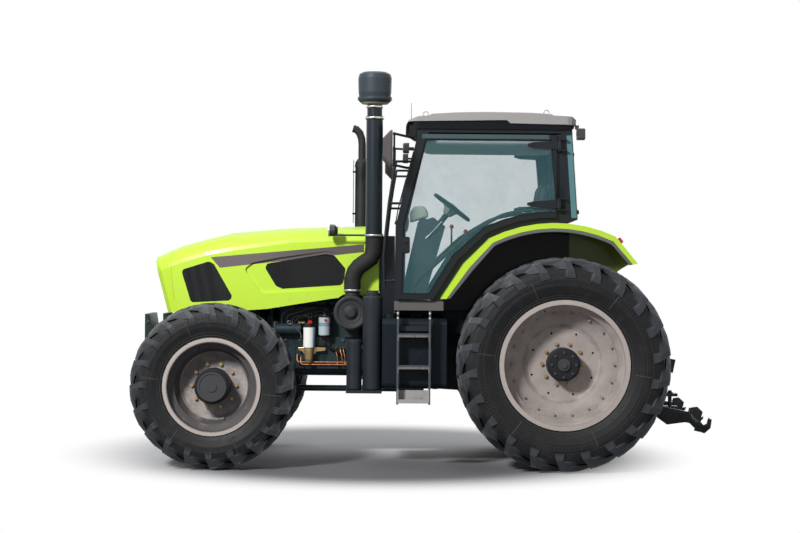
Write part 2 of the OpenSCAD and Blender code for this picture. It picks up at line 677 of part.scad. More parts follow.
module canisters() {
  filter_y = engine_w / 2 + 60;
  color("black") from_axle() {
    translate([tall_x, tall_y, 0]) rotate_extrude() polygon([[0, 617], [70, 617], [77, 626], [77, 1346], [68, 1360],
      [54, 1364], [54, 1382], [46, 1392], [46, 1402], [0, 1402]]);
    translate([short_x, tall_y, 0]) rotate_extrude() polygon([[0, 617], [54, 617], [61, 626], [61, 1002],
      [52, 1013], [0, 1013]]);
    for (z = [700, 940]) block([tall_x, short_x], [tall_y - 20, tall_y + 20], [z, z + 30]);
    block([1422, 1704], [case_w / 2, 780], [bracket_z, 617]);
    block([1422, 1474], [case_w / 2, case_w / 2 + 40], [617, 760]);
    // Filter heads, elements and bowls
    block([1850, 2070], [engine_w / 2, engine_w / 2 + 20], [940, deck_z]);
    for (f = [[2021, 918, 1120], [1897, 1021, 1190]])
      translate([f[0], filter_y, 0]) rotate_extrude() polygon([[0, f[1]], [40, f[1]], [48, f[1] + 10],
        [48, f[2] - 10], [40, f[2]], [0, f[2]]]);
    translate([2021, filter_y, 0]) rotate_extrude() polygon([[0, 800], [20, 800], [33, 830], [40, 900], [40, 919],
      [0, 919]]);
    rod_z(14, [1110, 1140], 2021, filter_y);
    block([1990, 2052], [filter_y - 60, filter_y], [1110, 1126]);
    block([1880, 1914], [filter_y - 60, filter_y], [1180, 1196]);
    rod_z(12, [deck_z - 2, 1115], 2005, engine_w / 2 + 12);
    rod_z(12, [deck_z - 2, 1185], 1890, engine_w / 2 + 12);
  }
}

// Tanks and steps

tank_x = [912, 1421];
tank_inner_y = 470;
tank_z = floor_z - 145 - tank_h;

module fuel_tanks() {
  outer_y = tank_inner_y + tank_w;
  color("midnightblue") from_axle() both_sides() {
    end_plate(rounded(corners([tank_inner_y, outer_y], [tank_z, tank_z + tank_h]), 44), tank_x);
    // Straps and the filler's cap
    for (x = [tank_x[0] + 70, tank_x[1] - 110])
      end_plate(rounded(corners([tank_inner_y - 3, outer_y + 3], [tank_z - 3, tank_z + tank_h + 3]), 46), [x, x + 40]);
    rod_z(46, [tank_z + tank_h - 2, tank_z + tank_h + 34], tank_x[1] - 60, outer_y - 90);
    for (x = [tank_x[0] + 100, tank_x[1] - 140])
      block([x, x + 50], [case_w / 2, tank_inner_y], [tank_z + 60, tank_z + 130]);
  }
}

module ladders() {
  rail_t = 16;
  rail_x = 1040;
  rail_y = [840, 920];
  treads = [lowest_step_z, lowest_step_z + 266, lowest_step_z + 515];
  color("black") from_axle() both_sides() {
    for (x = [rail_x, rail_x + step_w]) block([x, x + rail_t], rail_y, [lowest_step_z - 10, floor_z - 80]);
    for (z = treads) {
      block([rail_x + rail_t, rail_x + step_w], rail_y, [z, z + 8]);
      for (y = [rail_y[0], rail_y[1] - 6]) block([rail_x + rail_t, rail_x + step_w], [y, y + 6], [z, z + 30]);
    }
    // Kick plate over the lowest step
    block([rail_x + rail_t, rail_x + step_w], [rail_y[0], rail_y[0] + 4], [lowest_step_z + 12, lowest_step_z + 98]);
    block([rail_x, rail_x + step_w + rail_t], [tank_inner_y + tank_w, rail_y[0]], [1090, 1130]);
  }
}

// Cab

cab_x = [-110, 1309];
bulkhead_top = 1840;
// Hinge lines of the hood, the doors and the rear window
hinge_pin_r = 7;
ear_t = 15;
hood_hinge = [1480, 1868];
hood_ear_y = 200;
hinge_x = 40;
hinge_y = cab_half_w + 6;
door_hinge_z = [2096, 2561];
rear_hinge = [-84, 2672];
rear_ear_y = 400;
front_post = [[cab_x[1], floor_z], [cab_x[1] - 6, 1915], [1131, 2656]];
roof_z = 2656;
pillar_slope = (front_post[1][0] - front_post[2][0]) / (front_post[2][1] - front_post[1][1]);
handrail = [[1325, 2425], [1352, 2260], [1376, 2094], [1398, 1880], [1415, 1665], [1410, 1480], [1404, 1414]];
handrail_r = 12;
handrail_stand = 130;
wall_y = 572;
wall_t = 18;
arc_x = 80;
arc_z = 830;
fender_front_x = 965;
fender_end = 114.7;
fender_tip = [-558, 1635];
// Point of a fender between its front foot and its arc
knee = [arc_x + 0.636 * fender_r, arc_z + 0.7094 * fender_r];

// Top outline of a fender, from its front foot over the wheel to its tail
function fender_line(r, foot) = concat(
  [[fender_front_x + foot, 1348], knee + foot * [1, 0.7]],
  [for (p = arc(arc_x, arc_z, r, 63, fender_end, 8)) p],
  [fender_tip + foot * [-0.9, 0.2]]);

module cab_floor() {
  color("black") from_axle() {
    block([cab_x[0], fender_front_x - 25], [-wall_y, wall_y], [floor_z - 80, floor_z]);
    block([fender_front_x - 25, cab_x[1] + 20], [-cab_half_w + door_t + gap, cab_half_w - door_t - gap],
      [floor_z - 80, floor_z]);
    // Rear panel below the rear window
    block([cab_x[0], cab_x[0] + 40], [-wall_y, wall_y], [floor_z, 1940]);
    // Cab mounts on the drive line
    for (x = [60, 1100]) both_sides()
      block([x, x + 90], [60, case_w / 2 - 20], [x < 400 ? case_top : 1060, floor_z - 80]);
    // Seat box
    block([160, 520], [-200, 200], [floor_z, 1640]);
  }
}

// Bulkhead between the hood and the cab, with the cab's pillars and rails
module cab_frame() {
  y = [cab_half_w - door_t - gap - pillar_w, cab_half_w - door_t - gap];
  hx = hood_hinge[0];
  hz = hood_hinge[1];
  edge_x = hood_rear_x - gap;
  // The ear stays close round the pin and low behind it, where the opening hood comes down
  hinge_ear = [[edge_x - 40, bulkhead_top - 20], [hx + 14, bulkhead_top - 20], [hx + 14, hz + 4], [hx + 6, hz + 13],
    [hx - 6, hz + 13], [hx - 14, hz + 2], [edge_x, bulkhead_top], [edge_x - 40, bulkhead_top]];
  color("black") from_axle() {
    both_sides() {
      // Front pillar
      side_plate([[cab_x[1] + 20, floor_z], front_post[1] + [20, 0], front_post[2] + [20, 0], front_post[2] - [pillar_w, 0],
        front_post[1] - [pillar_w, 0], [cab_x[1] - pillar_w, floor_z]], y);
      // Rear pillar
      side_plate([[cab_x[0] - 2, 1975], [cab_x[0] + 90, 1975], [20, roof_z], [-64, roof_z]], y);
      // Roof rail
      block([-64, front_post[2][0] + 20], y, [roof_z, roof_z + 44]);
      // Sill along the fender, behind the door's lower edge
      side_plate(concat([for (p = fender_line(fender_r, 0)) if (p[0] > cab_x[0]) p],
        [[cab_x[0], 1975], [cab_x[0], 1995]],
        [for (p = arc(arc_x, arc_z, fender_r + 76, 96, 63, 6)) p],
        [knee + [76, 50], [fender_front_x + 76, 1360], [fender_front_x + 76, floor_z], [fender_front_x, floor_z]]),
        [y[1] - 34, y[1]]);
    }
    // Handrails before the front pillars
    both_sides() {
      bent_tube(handrail, handrail_r, y[1] - 20);
      for (p = [handrail[0], handrail[2], handrail[len(handrail) - 2]])
        rod_x(handrail_r - 2, [p[0] - handrail_stand, p[0]], y[1] - 20, p[1]);
    }
    block([-64, -14], [-y[0], y[0]], [roof_z, roof_z + 44]);
    block([front_post[2][0] - 40, front_post[2][0] + 20], [-y[0], y[0]], [roof_z, roof_z + 44]);
    // Bulkhead with the hood's hinge pins
    block([cab_x[1] + 20, hood_rear_x - gap], [-400, 400], [1060, bulkhead_top]);
    both_sides() {
      side_plate(hinge_ear, [hood_ear_y - 20, hood_ear_y - 5]);
      rod_y(hinge_pin_r, [hood_ear_y - 20, hood_ear_y + ear_t + 5], hood_hinge[0], hood_hinge[1]);
    }
    // Hinges of the doors
    for (z = door_hinge_z) both_sides() {
      rod_z(hinge_pin_r, [z - 48, z + 48], hinge_x, hinge_y);
      for (dz = [-48, 38]) {
        rod_z(14, [z + dz, z + dz + 10], hinge_x, hinge_y);
        block([-22, hinge_x], [y[1] - 10, hinge_y], [z + dz, z + dz + 10]);
      }
    }
    // Hinges of the rear window
    both_sides() {
      for (ey = [rear_ear_y - 20, rear_ear_y + ear_t + 5])
        block([rear_hinge[0] - 14, -64], [ey, ey + 15], [rear_hinge[1] - 10, rear_hinge[1] + 18]);
      rod_y(hinge_pin_r, [rear_ear_y - 20, rear_ear_y + ear_t + 20], rear_hinge[0], rear_hinge[1]);
    }
  }
}

module windshield() {
  y = cab_half_w - door_t - gap - pillar_w;
  sheet = [[cab_x[1] + 18, floor_z], front_post[1] + [18, 0], front_post[2] + [18, 0],
    front_post[2] + [18 - glass_t, 0], front_post[1] + [18 - glass_t, 0], [cab_x[1] + 18 - glass_t, floor_z]];
  color("paleturquoise") from_axle() side_plate(sheet, [-y, y]);
}

// Roof shell with a raised middle, over a dark fascia
module roof() {
  y = cab_half_w;
  crown = roof_top;
  rear = -98;
  front = 1247;
  edge_t = 27;
  shell = [[front, crown - 118], [front - 22, crown - 78], [front - 97, crown - 50], [900, crown - 33],
    [600, crown - 27], [200, crown - 31], [rear + 38, crown - 43], [rear, crown - 68], [rear, crown - 108],
    [421, crown - 100], [459, crown - 75], [front - 47, crown - 89]];
  middle = [[1120, crown - 60], [1040, crown - 18], [850, crown - 6], [600, crown], [250, crown - 4],
    [90, crown - 14], [20, crown - 60]];
  fascia = [[rear + 14, roof_z + edge_t], [rear + 14, crown - 104], [421, crown - 96], [459, crown - 72],
    [front - 52, crown - 86], [front - 24, crown - 112], [front - 80, roof_z + edge_t]];
  plan = corners([rear, front], [-y, y]);
  under = corners([rear + 14, front - 24], [-y + 14, y - 14]);
  color("tan") from_axle() {
    intersection() {
      side_plate(shell, [-y, y]);
      linear_extrude(crown + 100) polygon(rounded(plan, 90, 5));
    }
    side_plate(middle, [-y + 150, y - 150]);
    difference() {
      intersection() {
        side_plate(fascia, [-y, y]);
        linear_extrude(crown + 100) polygon(rounded(under, 76, 5));
      }
      block([rear - 10, front_post[2][0] + 22], [-y + 33, y - 33], [roof_z, roof_z + 44]);
    }
  }
}

module fenders() {
  t = 26;
  lip = 42;
  outer = fender_line(fender_r, 0);
  inner = fender_line(fender_r - t, -t);
  deep = fender_line(fender_r - lip, -lip);
  wall = concat(outer, [[-489, 1595], [cab_x[0], floor_z], [cab_x[0], floor_z - 80], [fender_front_x - 25, floor_z - 80],
    [fender_front_x - 25, floor_z + gap]]);
  color("greenyellow") from_axle() both_sides() {
    side_plate(concat(outer, [for (i = [len(inner) - 1:-1:0]) inner[i]]), [wall_y + wall_t, fender_edge_y]);
    side_plate(concat(outer, [for (i = [len(deep) - 1:-1:0]) deep[i]]), [fender_edge_y - 30, fender_edge_y]);
    side_plate(wall, [wall_y, wall_y + wall_t]);
  }
}

// Mirrors on two arms each, with their round-backed shells
module mirrors() {
  arm_r = 10;
  arm_y = cab_half_w - 60;
  post_y = 960;
  shell_x = 1352;
  shell_z = [2356, 2650];
  arms = [[2610, 2630], [2375, 2385]];
  plate = rounded(corners([930, 1100], shell_z), 40);
  back = rounded(corners([960, 1070], [shell_z[0] + 60, shell_z[1] - 60]), 40);
  color("black") from_axle() both_sides() {
    hull() {
      end_plate(plate, [shell_x, shell_x + 14]);
      end_plate(back, [shell_x + 60, shell_x + 74]);
    }
    // Arms from the front pillar, and the post between them
    for (a = arms) {
      face_x = front_post[2][0] + 20 + (front_post[2][1] - a[0] + arm_r) * pillar_slope + fit;
      rod_x(arm_r, [face_x, face_x + 26], arm_y, a[0]);
      strut([face_x + 20, arm_y, a[0]], [shell_x - 14, post_y, a[1]], arm_r);
      translate([shell_x - 14, post_y, a[1]]) sphere(arm_r + 1);
      rod_x(arm_r, [shell_x - 14, shell_x + 4], post_y, a[1]);
    }
    strut([shell_x - 14, post_y, arms[1][1]], [shell_x - 14, post_y, arms[0][1]], arm_r - 2);
  }
}

// Road lamps on arms, work lamps at the pillars and the roof, and tail lamps on the fenders
module lamps() {
  arm_z = elbow_top_z + 12;
  head_z = 1879;
  head_x = 1811;
  // Last straight stretch of the fender, and the direction away from it
  from = arc(arc_x, arc_z, fender_r, fender_end, fender_end, 1)[0];
  u = (fender_tip - from) / norm(fender_tip - from);
  n = [u[1], -u[0]];
  color("white") from_axle() both_sides() {
    // Round head with a domed back, on its bent bracket
    rod_x(48, [head_x, head_x + 38], stack_y, head_z);
    rod_x(50, [head_x + 34, head_x + 45], stack_y, head_z);
    translate([head_x + 1, stack_y, head_z]) rotate([0, -90, 0]) cylinder(r1 = 46, r2 = 22, h = 26);
    rod_z(8, [arm_z - 6, head_z - 40], head_x + 18, stack_y);
  }
  color("white") from_axle() {
    rod_x(8, [stack_x + stack_r + 6, head_x + 20], stack_y, arm_z);
    rod_x(8, [exhaust_x + muffler_r, head_x + 20], -stack_y, arm_z);
  }
  color("white") from_axle() both_sides() {
    // Work lamps by the front pillars
    face_x = front_post[2][0] + 20 + (front_post[2][1] - 2520) * pillar_slope + fit;
    rod_x(9, [face_x, face_x + 40], cab_half_w - 60, 2530);
    end_plate(rounded(corners([cab_half_w - 110, cab_half_w - 10], [2490, 2570]), 14), [face_x + 38, face_x + 84]);
    // Rear work lamps under the roof's corners
    end_plate(rounded(corners([cab_half_w - 88, cab_half_w], [2605, 2697]), 14), [-160, -100]);
    block([-118, -88], [cab_half_w - 76, cab_half_w - 55], [2690, roof_top - 108]);
    // Tail lamps on the fenders' outer ends
    side_plate([from + u * 20 + n * fit, from + u * 75 + n * fit, from + u * 70 + n * 26, from + u * 25 + n * 26],
      [fender_edge_y - 170, fender_edge_y - 40]);
  }
}

// Seat, dash and wheel inside the cab
module seat() {
  color("black") from_axle() {
    block([150, 600], [-240, 240], [1640, 1760]);
    side_plate([[150, 1760], [40, 2300], [140, 2300], [260, 1760]], [-230, 230]);
  }
}

wheel_x = 857;
wheel_z = 2086;
wheel_tilt = 36.87;
column = 163.5;
column_foot = [wheel_x + column * sin(wheel_tilt), wheel_z - column * cos(wheel_tilt)];

// Dash with its column, pedals, side consoles and levers
module console() {
  color("dimgray") from_axle() {
    side_plate([[1280, floor_z], [1080, floor_z], column_foot - [40, 30], column_foot + [60, 45], [1140, 1960]],
      [-150, 150]);
    for (y = [-110, 40]) side_plate([[1060, floor_z + 60], [1090, floor_z + 150], [1080, floor_z + 154],
      [1050, floor_z + 64]], [y, y + 70]);
    for (y = [-90, 60]) block([1070, 1110], [y, y + 24], [floor_z + 96, floor_z + 120]);
    side_plate(rounded([[300, floor_z], [820, floor_z], [780, 1640], [420, 1720], [300, 1720]], 30), [-470, -270]);
    for (k = [[850, -300, 1932], [730, -330, 1892]]) {
      rod_z(8, [floor_z, k[2]], k[0], k[1]);
      translate(k) sphere(19);
    }
  }
}

module steering_wheel() {
  color("black") from_axle() translate([wheel_x, 0, wheel_z]) rotate([0, -wheel_tilt, 0]) {
    rotate_extrude() translate([172, 0]) circle(14, $fn = 24);
    cylinder(r = 40, h = 24);
    for (a = [0, 120, 240]) rotate(a + 180) block([20, 166], [-14, 14], [2, 14]);
    translate([0, 0, fit - column]) cylinder(r = 24, h = column - fit);
  }
}

clevis_x = -969;
clevis_pin_r = 16;

// Drawbar with its clevis and pin
module drawbar() {
  color("darkslategray") from_axle() {
    block([-840, 300], [-40, 40], [500, 535]);
    block([clevis_x - 58, -790], [-45, 45], [430, 452]);
    block([clevis_x - 58, -740], [-45, 45], [533, 557]);
    block([-840, -790], [-45, 45], [440, 545]);
    rod_z(clevis_pin_r, [425, 580], clevis_x, 0);
    rod_z(clevis_pin_r + 8, [557, 566], clevis_x, 0);
    block([-290, 260], [-60, 60], [533, 560]);
  }
}

// Hood

// Heights and half width of the hood along its length
function hood_ridge(x) = lookup(x, [[hood_rear_x, hood_top], [1577, hood_top], [2188, hood_top - 21],
  [2664, hood_top - 68], [3062, hood_top - 176], [hood_front_x, hood_top - 268]]);
function hood_crease(x) = lookup(x, [[hood_rear_x, hood_top - 74], [1568, hood_top - 84],
  [2166, hood_top - 114], [2660, hood_top - 187], [2892, hood_top - 230], [3112, hood_top - 298],
  [hood_front_x, hood_top - 360]]);
function hood_foot(x) = lookup(x, [[hood_rear_x, 1372], [1746, 1346], [2472, 1232], [3175, 1204]]);
function hood_width(x) = lookup(x, [[hood_rear_x, hood_half_w], [2300, hood_half_w],
  [2900, lerp(hood_half_w, nose_half_w, 0.3)], [3150, lerp(hood_half_w, nose_half_w, 0.65)],
  [hood_front_x, nose_half_w]]);
hood_nose_z = hood_top - 281;
nose_lean = 0.264;

// One side of the hood's cross section, from the foot to the ridge
function hood_half_section(x, inset, pinch) =
  let(w = hood_width(x) - inset - pinch, zt = hood_ridge(x) - inset - pinch * 0.2, zc = hood_crease(x) - inset * 0.4,
    zb = hood_foot(x) - (inset > 0 ? 30 : 0))
  [[w, zb], [w, lerp(zb, zc, 0.5)], [w, zc - 30], [w - 10, zc], [w - 34, lerp(zc, zt, 0.34)],
    [0.8 * w, lerp(zc, zt, 0.66)], [0.5 * w, lerp(zc, zt, 0.9)], [0.22 * w, lerp(zc, zt, 0.98)]];

// Solid hull of the hood, drawn in by an inset
module hood_form(inset) {
  steps = [0, 0.08, 0.22, 0.38, 0.52, 0.64, 0.76, 0.87, 0.94, 0.98, 1];
  pinch = [for (t = steps) t > 0.97 ? (t < 0.99 ? 14 : 55) : 0];
  x0 = hood_rear_x - (inset > 0 ? 10 : 0);
  points = [for (i = [0:len(steps) - 1])
    let(x = lerp(x0, hood_front_x - inset, steps[i]), half = hood_half_section(x, inset, pinch[i]),
      n = len(half), zt = hood_ridge(x) - inset,
      ring = concat(half, [[0, zt]], [for (k = [n - 1:-1:0]) [-half[k][0], half[k][1]]]))
    for (p = ring) [lerp(x0, hood_front_x - inset - (hood_nose_z - p[1]) * nose_lean, steps[i]), p[0], p[1]]];
  m = 17;
  last = (len(steps) - 1) * m;
  walls = [for (i = [0:len(steps) - 2]) for (k = [0:m - 1])
    let(a = i * m + k, b = i * m + (k + 1) % m)
    each [[a, b + m, b], [a, a + m, b + m]]];
  // The end faces fan out from the ridge, where no three points lie on one line
  ridge = 8;
  ends = [[for (k = [0:m - 1]) (k + ridge) % m], [for (k = [0:m - 1]) last + (ridge - k + m) % m]];
  polyhedron(points = points, faces = concat(walls, ends), convexity = 8);
}

// Side openings of the hood
front_mesh = [[3059, 1550], [2832, 1622], [2791, 1601], [2639, 1339], [2659, 1306], [2977, 1287]];
rear_mesh = [[2395, 1603], [1886, 1688], [1815, 1677], [1723, 1570], [1746, 1439], [2233, 1404], [2287, 1427]];

// Recess round the rear mesh, deepest at its front edge
recess = [[2274, 1655], [2481, 1614], [2545, 1562], [2416, 1383], [2390, 1368], [1730, 1408], [1700, 1560],
  [1800, 1700], [1886, 1712]];
recess_depth = 18;

module hood_recess() {
  start = recess[6][0];
  end = recess[2][0];
  fall = atan((hood_half_w - hood_width(end) + recess_depth) / (end - start));
  both_sides() intersection() {
    side_plate(rounded(recess, 30), [0, hood_half_w + 100]);
    translate([start, hood_half_w, 0]) rotate([0, 0, -fall])
      block([-100, end - start + 100], [0, 150], [1300, 1800]);
  }
}

// Openings in the nose, for the lamps and the mesh below them
nose_z = [1270, 1430, 1540];
nose_y = [20, 240];

module hood_openings() {
  side_plate(rounded(front_mesh, 30), [-600, 600]);
  side_plate(rounded(rear_mesh, 34), [-600, 600]);
  block([hood_front_x - 200, hood_front_x + 100], [-nose_y[1], nose_y[1]], [nose_z[0], nose_z[2]]);
}

module hood() {
  color("greenyellow") from_axle() {
    difference() {
      hood_form(0);
      hood_form(hood_wall);
      hood_recess();
      hood_openings();
      // Arch over the air cleaner
      rod_y(cleaner_r + 18, [0, 500], cleaner_x, cleaner_z);
    }
    // Hinge ears
    both_sides() difference() {
      block([hood_hinge[0] - 12, hood_hinge[0] + 14], [hood_ear_y, hood_ear_y + ear_t],
        [hood_hinge[1] - 14, hood_top - hood_wall - 2]);
      rod_y(hinge_pin_r + fit, [hood_ear_y - 5, hood_ear_y + ear_t + 5], hood_hinge[0], hood_hinge[1]);
    }
  }
}

module grilles() {
  color("black") from_axle() {
    intersection() {
      difference() {
        hood_form(3);
        hood_form(hood_wall);
      }
      union() {
        side_plate(rounded(front_mesh, 30), [-600, 600]);
        block([hood_front_x - 200, hood_front_x + 100], [-nose_y[1], nose_y[1]], [nose_z[0], nose_z[1]]);
        block([hood_front_x - 200, hood_front_x + 100], [-nose_y[0], nose_y[0]], [nose_z[1], nose_z[2]]);
      }
    }
    intersection() {
      difference() {
        hood_form(recess_depth);
        hood_form(hood_wall);
      }
      side_plate(rounded(rear_mesh, 34), [-600, 600]);
    }
  }
}

module headlamps() {
  color("white") from_axle() intersection() {
    difference() {
      hood_form(3);
      hood_form(hood_wall);
    }
    both_sides() block([hood_front_x - 200, hood_front_x + 100], nose_y, [nose_z[1], nose_z[2]]);
  }
}

// Doors and rear window

door_y = [cab_half_w - door_t, cab_half_w];
// Height of a door's lower edge above the fender, which it passes as it opens
door_lift = 46;

// Outline of a door, drawn in by an inset
function door_line(inset) = concat(
  [[front_post[2][0] - inset, 2640 - inset], [front_post[1][0] - inset, front_post[1][1]],
    [cab_x[1] - inset, floor_z + 8 + inset], [fender_front_x + 62 + inset * 0.7, floor_z + 8 + inset],
    [fender_front_x + door_lift + inset * 0.7, 1360 + inset], 
    knee + [door_lift + inset * 0.8, door_lift * 0.6 + inset * 0.8]],
  [for (p = arc(arc_x, arc_z, fender_r + door_lift + inset, 63, 91, 4)) p], [[hinge_x + 20 + inset, 2640 - inset]]);

module door_frame(side) {
  edge = 38;
  strap = [[0, -33], [200, -24], [250, -10], [250, 8], [200, 22], [0, 33]];
  color("black") from_axle() mirror([0, side < 0 ? 1 : 0, 0]) {
    difference() {
      side_plate(door_line(0), door_y);
      side_plate(door_line(edge), [door_y[0] - 10, door_y[1] + 10]);
    }
    for (z = door_hinge_z) difference() {
      union() {
        rod_z(16, [z - 33, z + 33], hinge_x, hinge_y);
        side_plate([for (p = strap) [hinge_x + p[0], z + p[1]]], [cab_half_w - 1, cab_half_w + 12]);
        rod_y(11, [cab_half_w - 1, cab_half_w + 18], hinge_x + 222, z - 1);
      }
      rod_z(hinge_pin_r + fit, [z - 50, z + 50], hinge_x, hinge_y);
    }
    // Handle and lock at the front edge
    side_plate(rounded(corners([cab_x[1] - 100, cab_x[1] - 34], [1700, 1830]), 14),
      [(door_y[0] + door_y[1]) / 2 + glass_t / 2 + 1, door_y[1] + 6]);
  }
}

module door_glass(side) {
  edge = 38;
  mid = (door_y[0] + door_y[1]) / 2;
  color("paleturquoise") from_axle() mirror([0, side < 0 ? 1 : 0, 0])
    side_plate(door_line(edge), [mid - glass_t / 2, mid + glass_t / 2]);
}

module left_door() door_frame(1);
module left_door_glass() door_glass(1);
module right_door() door_frame(-1);
module right_door_glass() door_glass(-1);

module rear_window() {
  y = cab_half_w - door_t - gap - pillar_w - gap;
  color("paleturquoise") from_axle() {
    side_plate([[-66, roof_z - 6], [-66 - glass_t, roof_z - 6], [-116 - glass_t, 1985], [-116, 1985]], [-y, y]);
    both_sides() difference() {
      block([rear_hinge[0] - 10, rear_hinge[0] + 10], [rear_ear_y, rear_ear_y + ear_t],
        [roof_z - 40, rear_hinge[1] + 12]);
      rod_y(hinge_pin_r + fit, [rear_ear_y - 5, rear_ear_y + ear_t + 5], rear_hinge[0], rear_hinge[1]);
    }
  }
}

// Rear linkage

// Place along a lower link, and the point where its lift rod is pinned
function on_link(t) = [link_x - t * lower_link * cos(link_drop) * cos(link_splay),
  lerp(link_y, link_hook_y, t), lerp(link_z, hook_z, t)];
rod_foot = on_link(0.5);
arm_drop = 10;
arm_y = case_w / 2 + 70;
arm_t = 40;
arm_end = [rock_x - lift_arm * cos(arm_drop), arm_y, rock_z - lift_arm * sin(arm_drop)];
rod_eye_w = 36;

module lower_links() {
  color("darkslategray") from_axle() both_sides() difference() {
    union() {
      rod_y(36, [link_y - link_t / 2, link_y + link_t / 2], link_x, link_z);
      translate([link_x, link_y, link_z]) rotate([0, 0, -link_splay]) rotate([0, -link_drop, 0]) {
        block([-lower_link + 40, 0], [-link_t / 2, link_t / 2], [-30, 30]);
        rod_y(hook_r, [-link_t / 2, link_t / 2], -lower_link, 0);
        block([-lower_link - 20, -lower_link + 70], [-link_t / 2, link_t / 2], [-80, -20]);
      }
      rod_y(rod_pin_r, [rod_foot[1], rod_foot[1] + 70], rod_foot[0], rod_foot[2]);
    }
    rod_y(pin_r + fit, [link_y - link_t, link_y + link_t], link_x, link_z);
    translate([link_x, link_y, link_z]) rotate([0, 0, -link_splay]) rotate([0, -link_drop, 0]) {
      rod_y(hook_bore_r, [-link_t, link_t], -lower_link, 0);
      block([-lower_link - 20, -lower_link + 20], [-link_t, link_t], [0, 90]);
    }
  }
}

module lift_arms() {
  color("darkslategray") from_axle() {
    rod_y(rock_r, [-arm_y - 6, arm_y + 6], rock_x, rock_z);
    both_sides() {
      rod_y(66, [arm_y - arm_t - 3, arm_y + 3], rock_x, rock_z);
      translate([rock_x, arm_y, rock_z]) rotate([0, -arm_drop, 0]) block([-lift_arm, 0], [-arm_t, 0], [-28, 28]);
      rod_y(34, [arm_y - arm_t - 1, arm_y + 1], arm_end[0], arm_end[2]);
      rod_y(pin_r, [arm_y - 10, arm_y + gap + rod_eye_w + 4], arm_end[0], arm_end[2]);
    }
  }
}

module lift_rods() {
  top_y = arm_y + gap;
  foot_y = rod_foot[1] + 30;
  top = [arm_end[0], top_y + rod_eye_w / 2, arm_end[2]];
  foot = [rod_foot[0], foot_y + rod_eye_w / 2, rod_foot[2]];
  color("black") from_axle() both_sides() difference() {
    union() {
      strut(foot, top, 17);
      strut(lerp(foot, top, 0.25), lerp(foot, top, 0.7), 27);
      rod_y(32, [top_y, top_y + rod_eye_w], top[0], top[2]);
      rod_y(36, [foot_y, foot_y + rod_eye_w], foot[0], foot[2]);
    }
    rod_y(pin_r + fit, [top_y - 20, top_y + rod_eye_w + 20], top[0], top[2]);
    rod_y(rod_pin_r + 9, [foot_y - 20, foot_y + rod_eye_w + 20], foot[0], foot[2]);
  }
}

module top_link() {
  color("black") from_axle() translate([top_x, 0, top_z]) rotate([0, -top_drop, 0]) difference() {
    union() {
      rod_y(34, [-26, 26], 0, 0);
      rod_x(20, [-590, -20], 0, 0);
      rod_x(30, [-430, -170], 0, 0);
      block([-655, -590], [-24, 24], [-70, 42]);
    }
    rod_y(pin_r + fit, [-40, 40], 0, 0);
  }
}

engine();
gearbox();
rear_axle();
front_frame();
front_axle();
radiator();
air_cleaner();
intake_elbow();
intake_stack();
exhaust();
canisters();
fuel_tanks();
ladders();
cab_floor();
cab_frame();
windshield();
roof();
lamps();
fenders();
mirrors();
seat();
console();
steering_wheel();
drawbar();
hood();
grilles();
headlamps();
left_door();
left_door_glass();
right_door();
right_door_glass();
rear_window();
left_knuckle();
right_knuckle();
steering_rod();
front_left_tyre();
front_left_rim();
front_right_tyre();
front_right_rim();
rear_left_tyre();
rear_left_rim();
rear_right_tyre();
rear_right_rim();
lower_links();
lift_arms();
lift_rods();
top_link();
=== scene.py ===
"""Looks of the farm tractor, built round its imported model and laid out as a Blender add-on."""

import json
import math

import bpy
from mathutils import Matrix, Vector


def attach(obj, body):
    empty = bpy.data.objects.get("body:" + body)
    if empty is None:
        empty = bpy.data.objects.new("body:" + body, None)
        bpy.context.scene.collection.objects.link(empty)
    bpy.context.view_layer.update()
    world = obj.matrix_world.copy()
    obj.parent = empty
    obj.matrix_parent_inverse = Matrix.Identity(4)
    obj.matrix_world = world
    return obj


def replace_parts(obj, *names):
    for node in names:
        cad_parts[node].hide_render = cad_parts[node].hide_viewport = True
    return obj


bl_info = {
    "name": "Farm tractor looks",
    "version": (1, 0, 0),
    "blender": (4, 5, 0),
    "location": "3D View > Sidebar > Tractor",
    "description": "Materials and fine pieces of a farm tractor, round its packed model",
    "category": "Object",
}

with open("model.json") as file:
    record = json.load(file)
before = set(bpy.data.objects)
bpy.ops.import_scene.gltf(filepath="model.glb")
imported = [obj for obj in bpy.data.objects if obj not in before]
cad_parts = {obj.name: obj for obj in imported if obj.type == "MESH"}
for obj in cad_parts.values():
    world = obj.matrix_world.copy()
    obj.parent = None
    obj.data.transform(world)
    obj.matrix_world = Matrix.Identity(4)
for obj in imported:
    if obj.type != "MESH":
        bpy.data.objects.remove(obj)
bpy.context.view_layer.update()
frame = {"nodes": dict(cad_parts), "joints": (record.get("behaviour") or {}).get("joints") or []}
JOINTS = {joint["name"]: joint for joint in frame["joints"]}
# The rear axle's place along the frame's X; lengths below are measured from it, in millimetres
AXLE_X = JOINTS["rear_left_spin"]["pos_m"][0]
SIDES = {"left": 1, "right": -1}
# Millimetres in a metre
MM = 1000
# A lug starts this share of its width from the tyre's middle plane and ends at this share of the tyre's width;
# on the way it leans back by so many degrees round the wheel
LUG_START = 0.42
TREAD_HALF = 0.44
LUG_SWEEP = 17
# Wheels by axle: lengths in millimetres, grey and the painted shade of the barrel in thousandths, and the
# number of lugs on a side
WHEELS = {
    "rear": {"x": 0, "y": 825, "tyre_r": 840, "rim_r": 508, "width": 430, "lug_h": 42, "lug_w": 60,
    "count": 22,
             "disc": 286, "hub": 130, "face": -48, "nuts": 165, "lip": 470, "end": 90.5, "grey": 250,
             "barrel_shade": 220},
    "front": {"x": 2740, "y": 850, "tyre_r": 650, "rim_r": 381, "width": 345, "lug_h": 36, "lug_w": 50,
    "count": 20,
              "disc": 257, "hub": 138, "face": -60, "nuts": 175, "lip": 352, "end": 118.5, "grey": 850,
              "barrel_shade": 900},
}


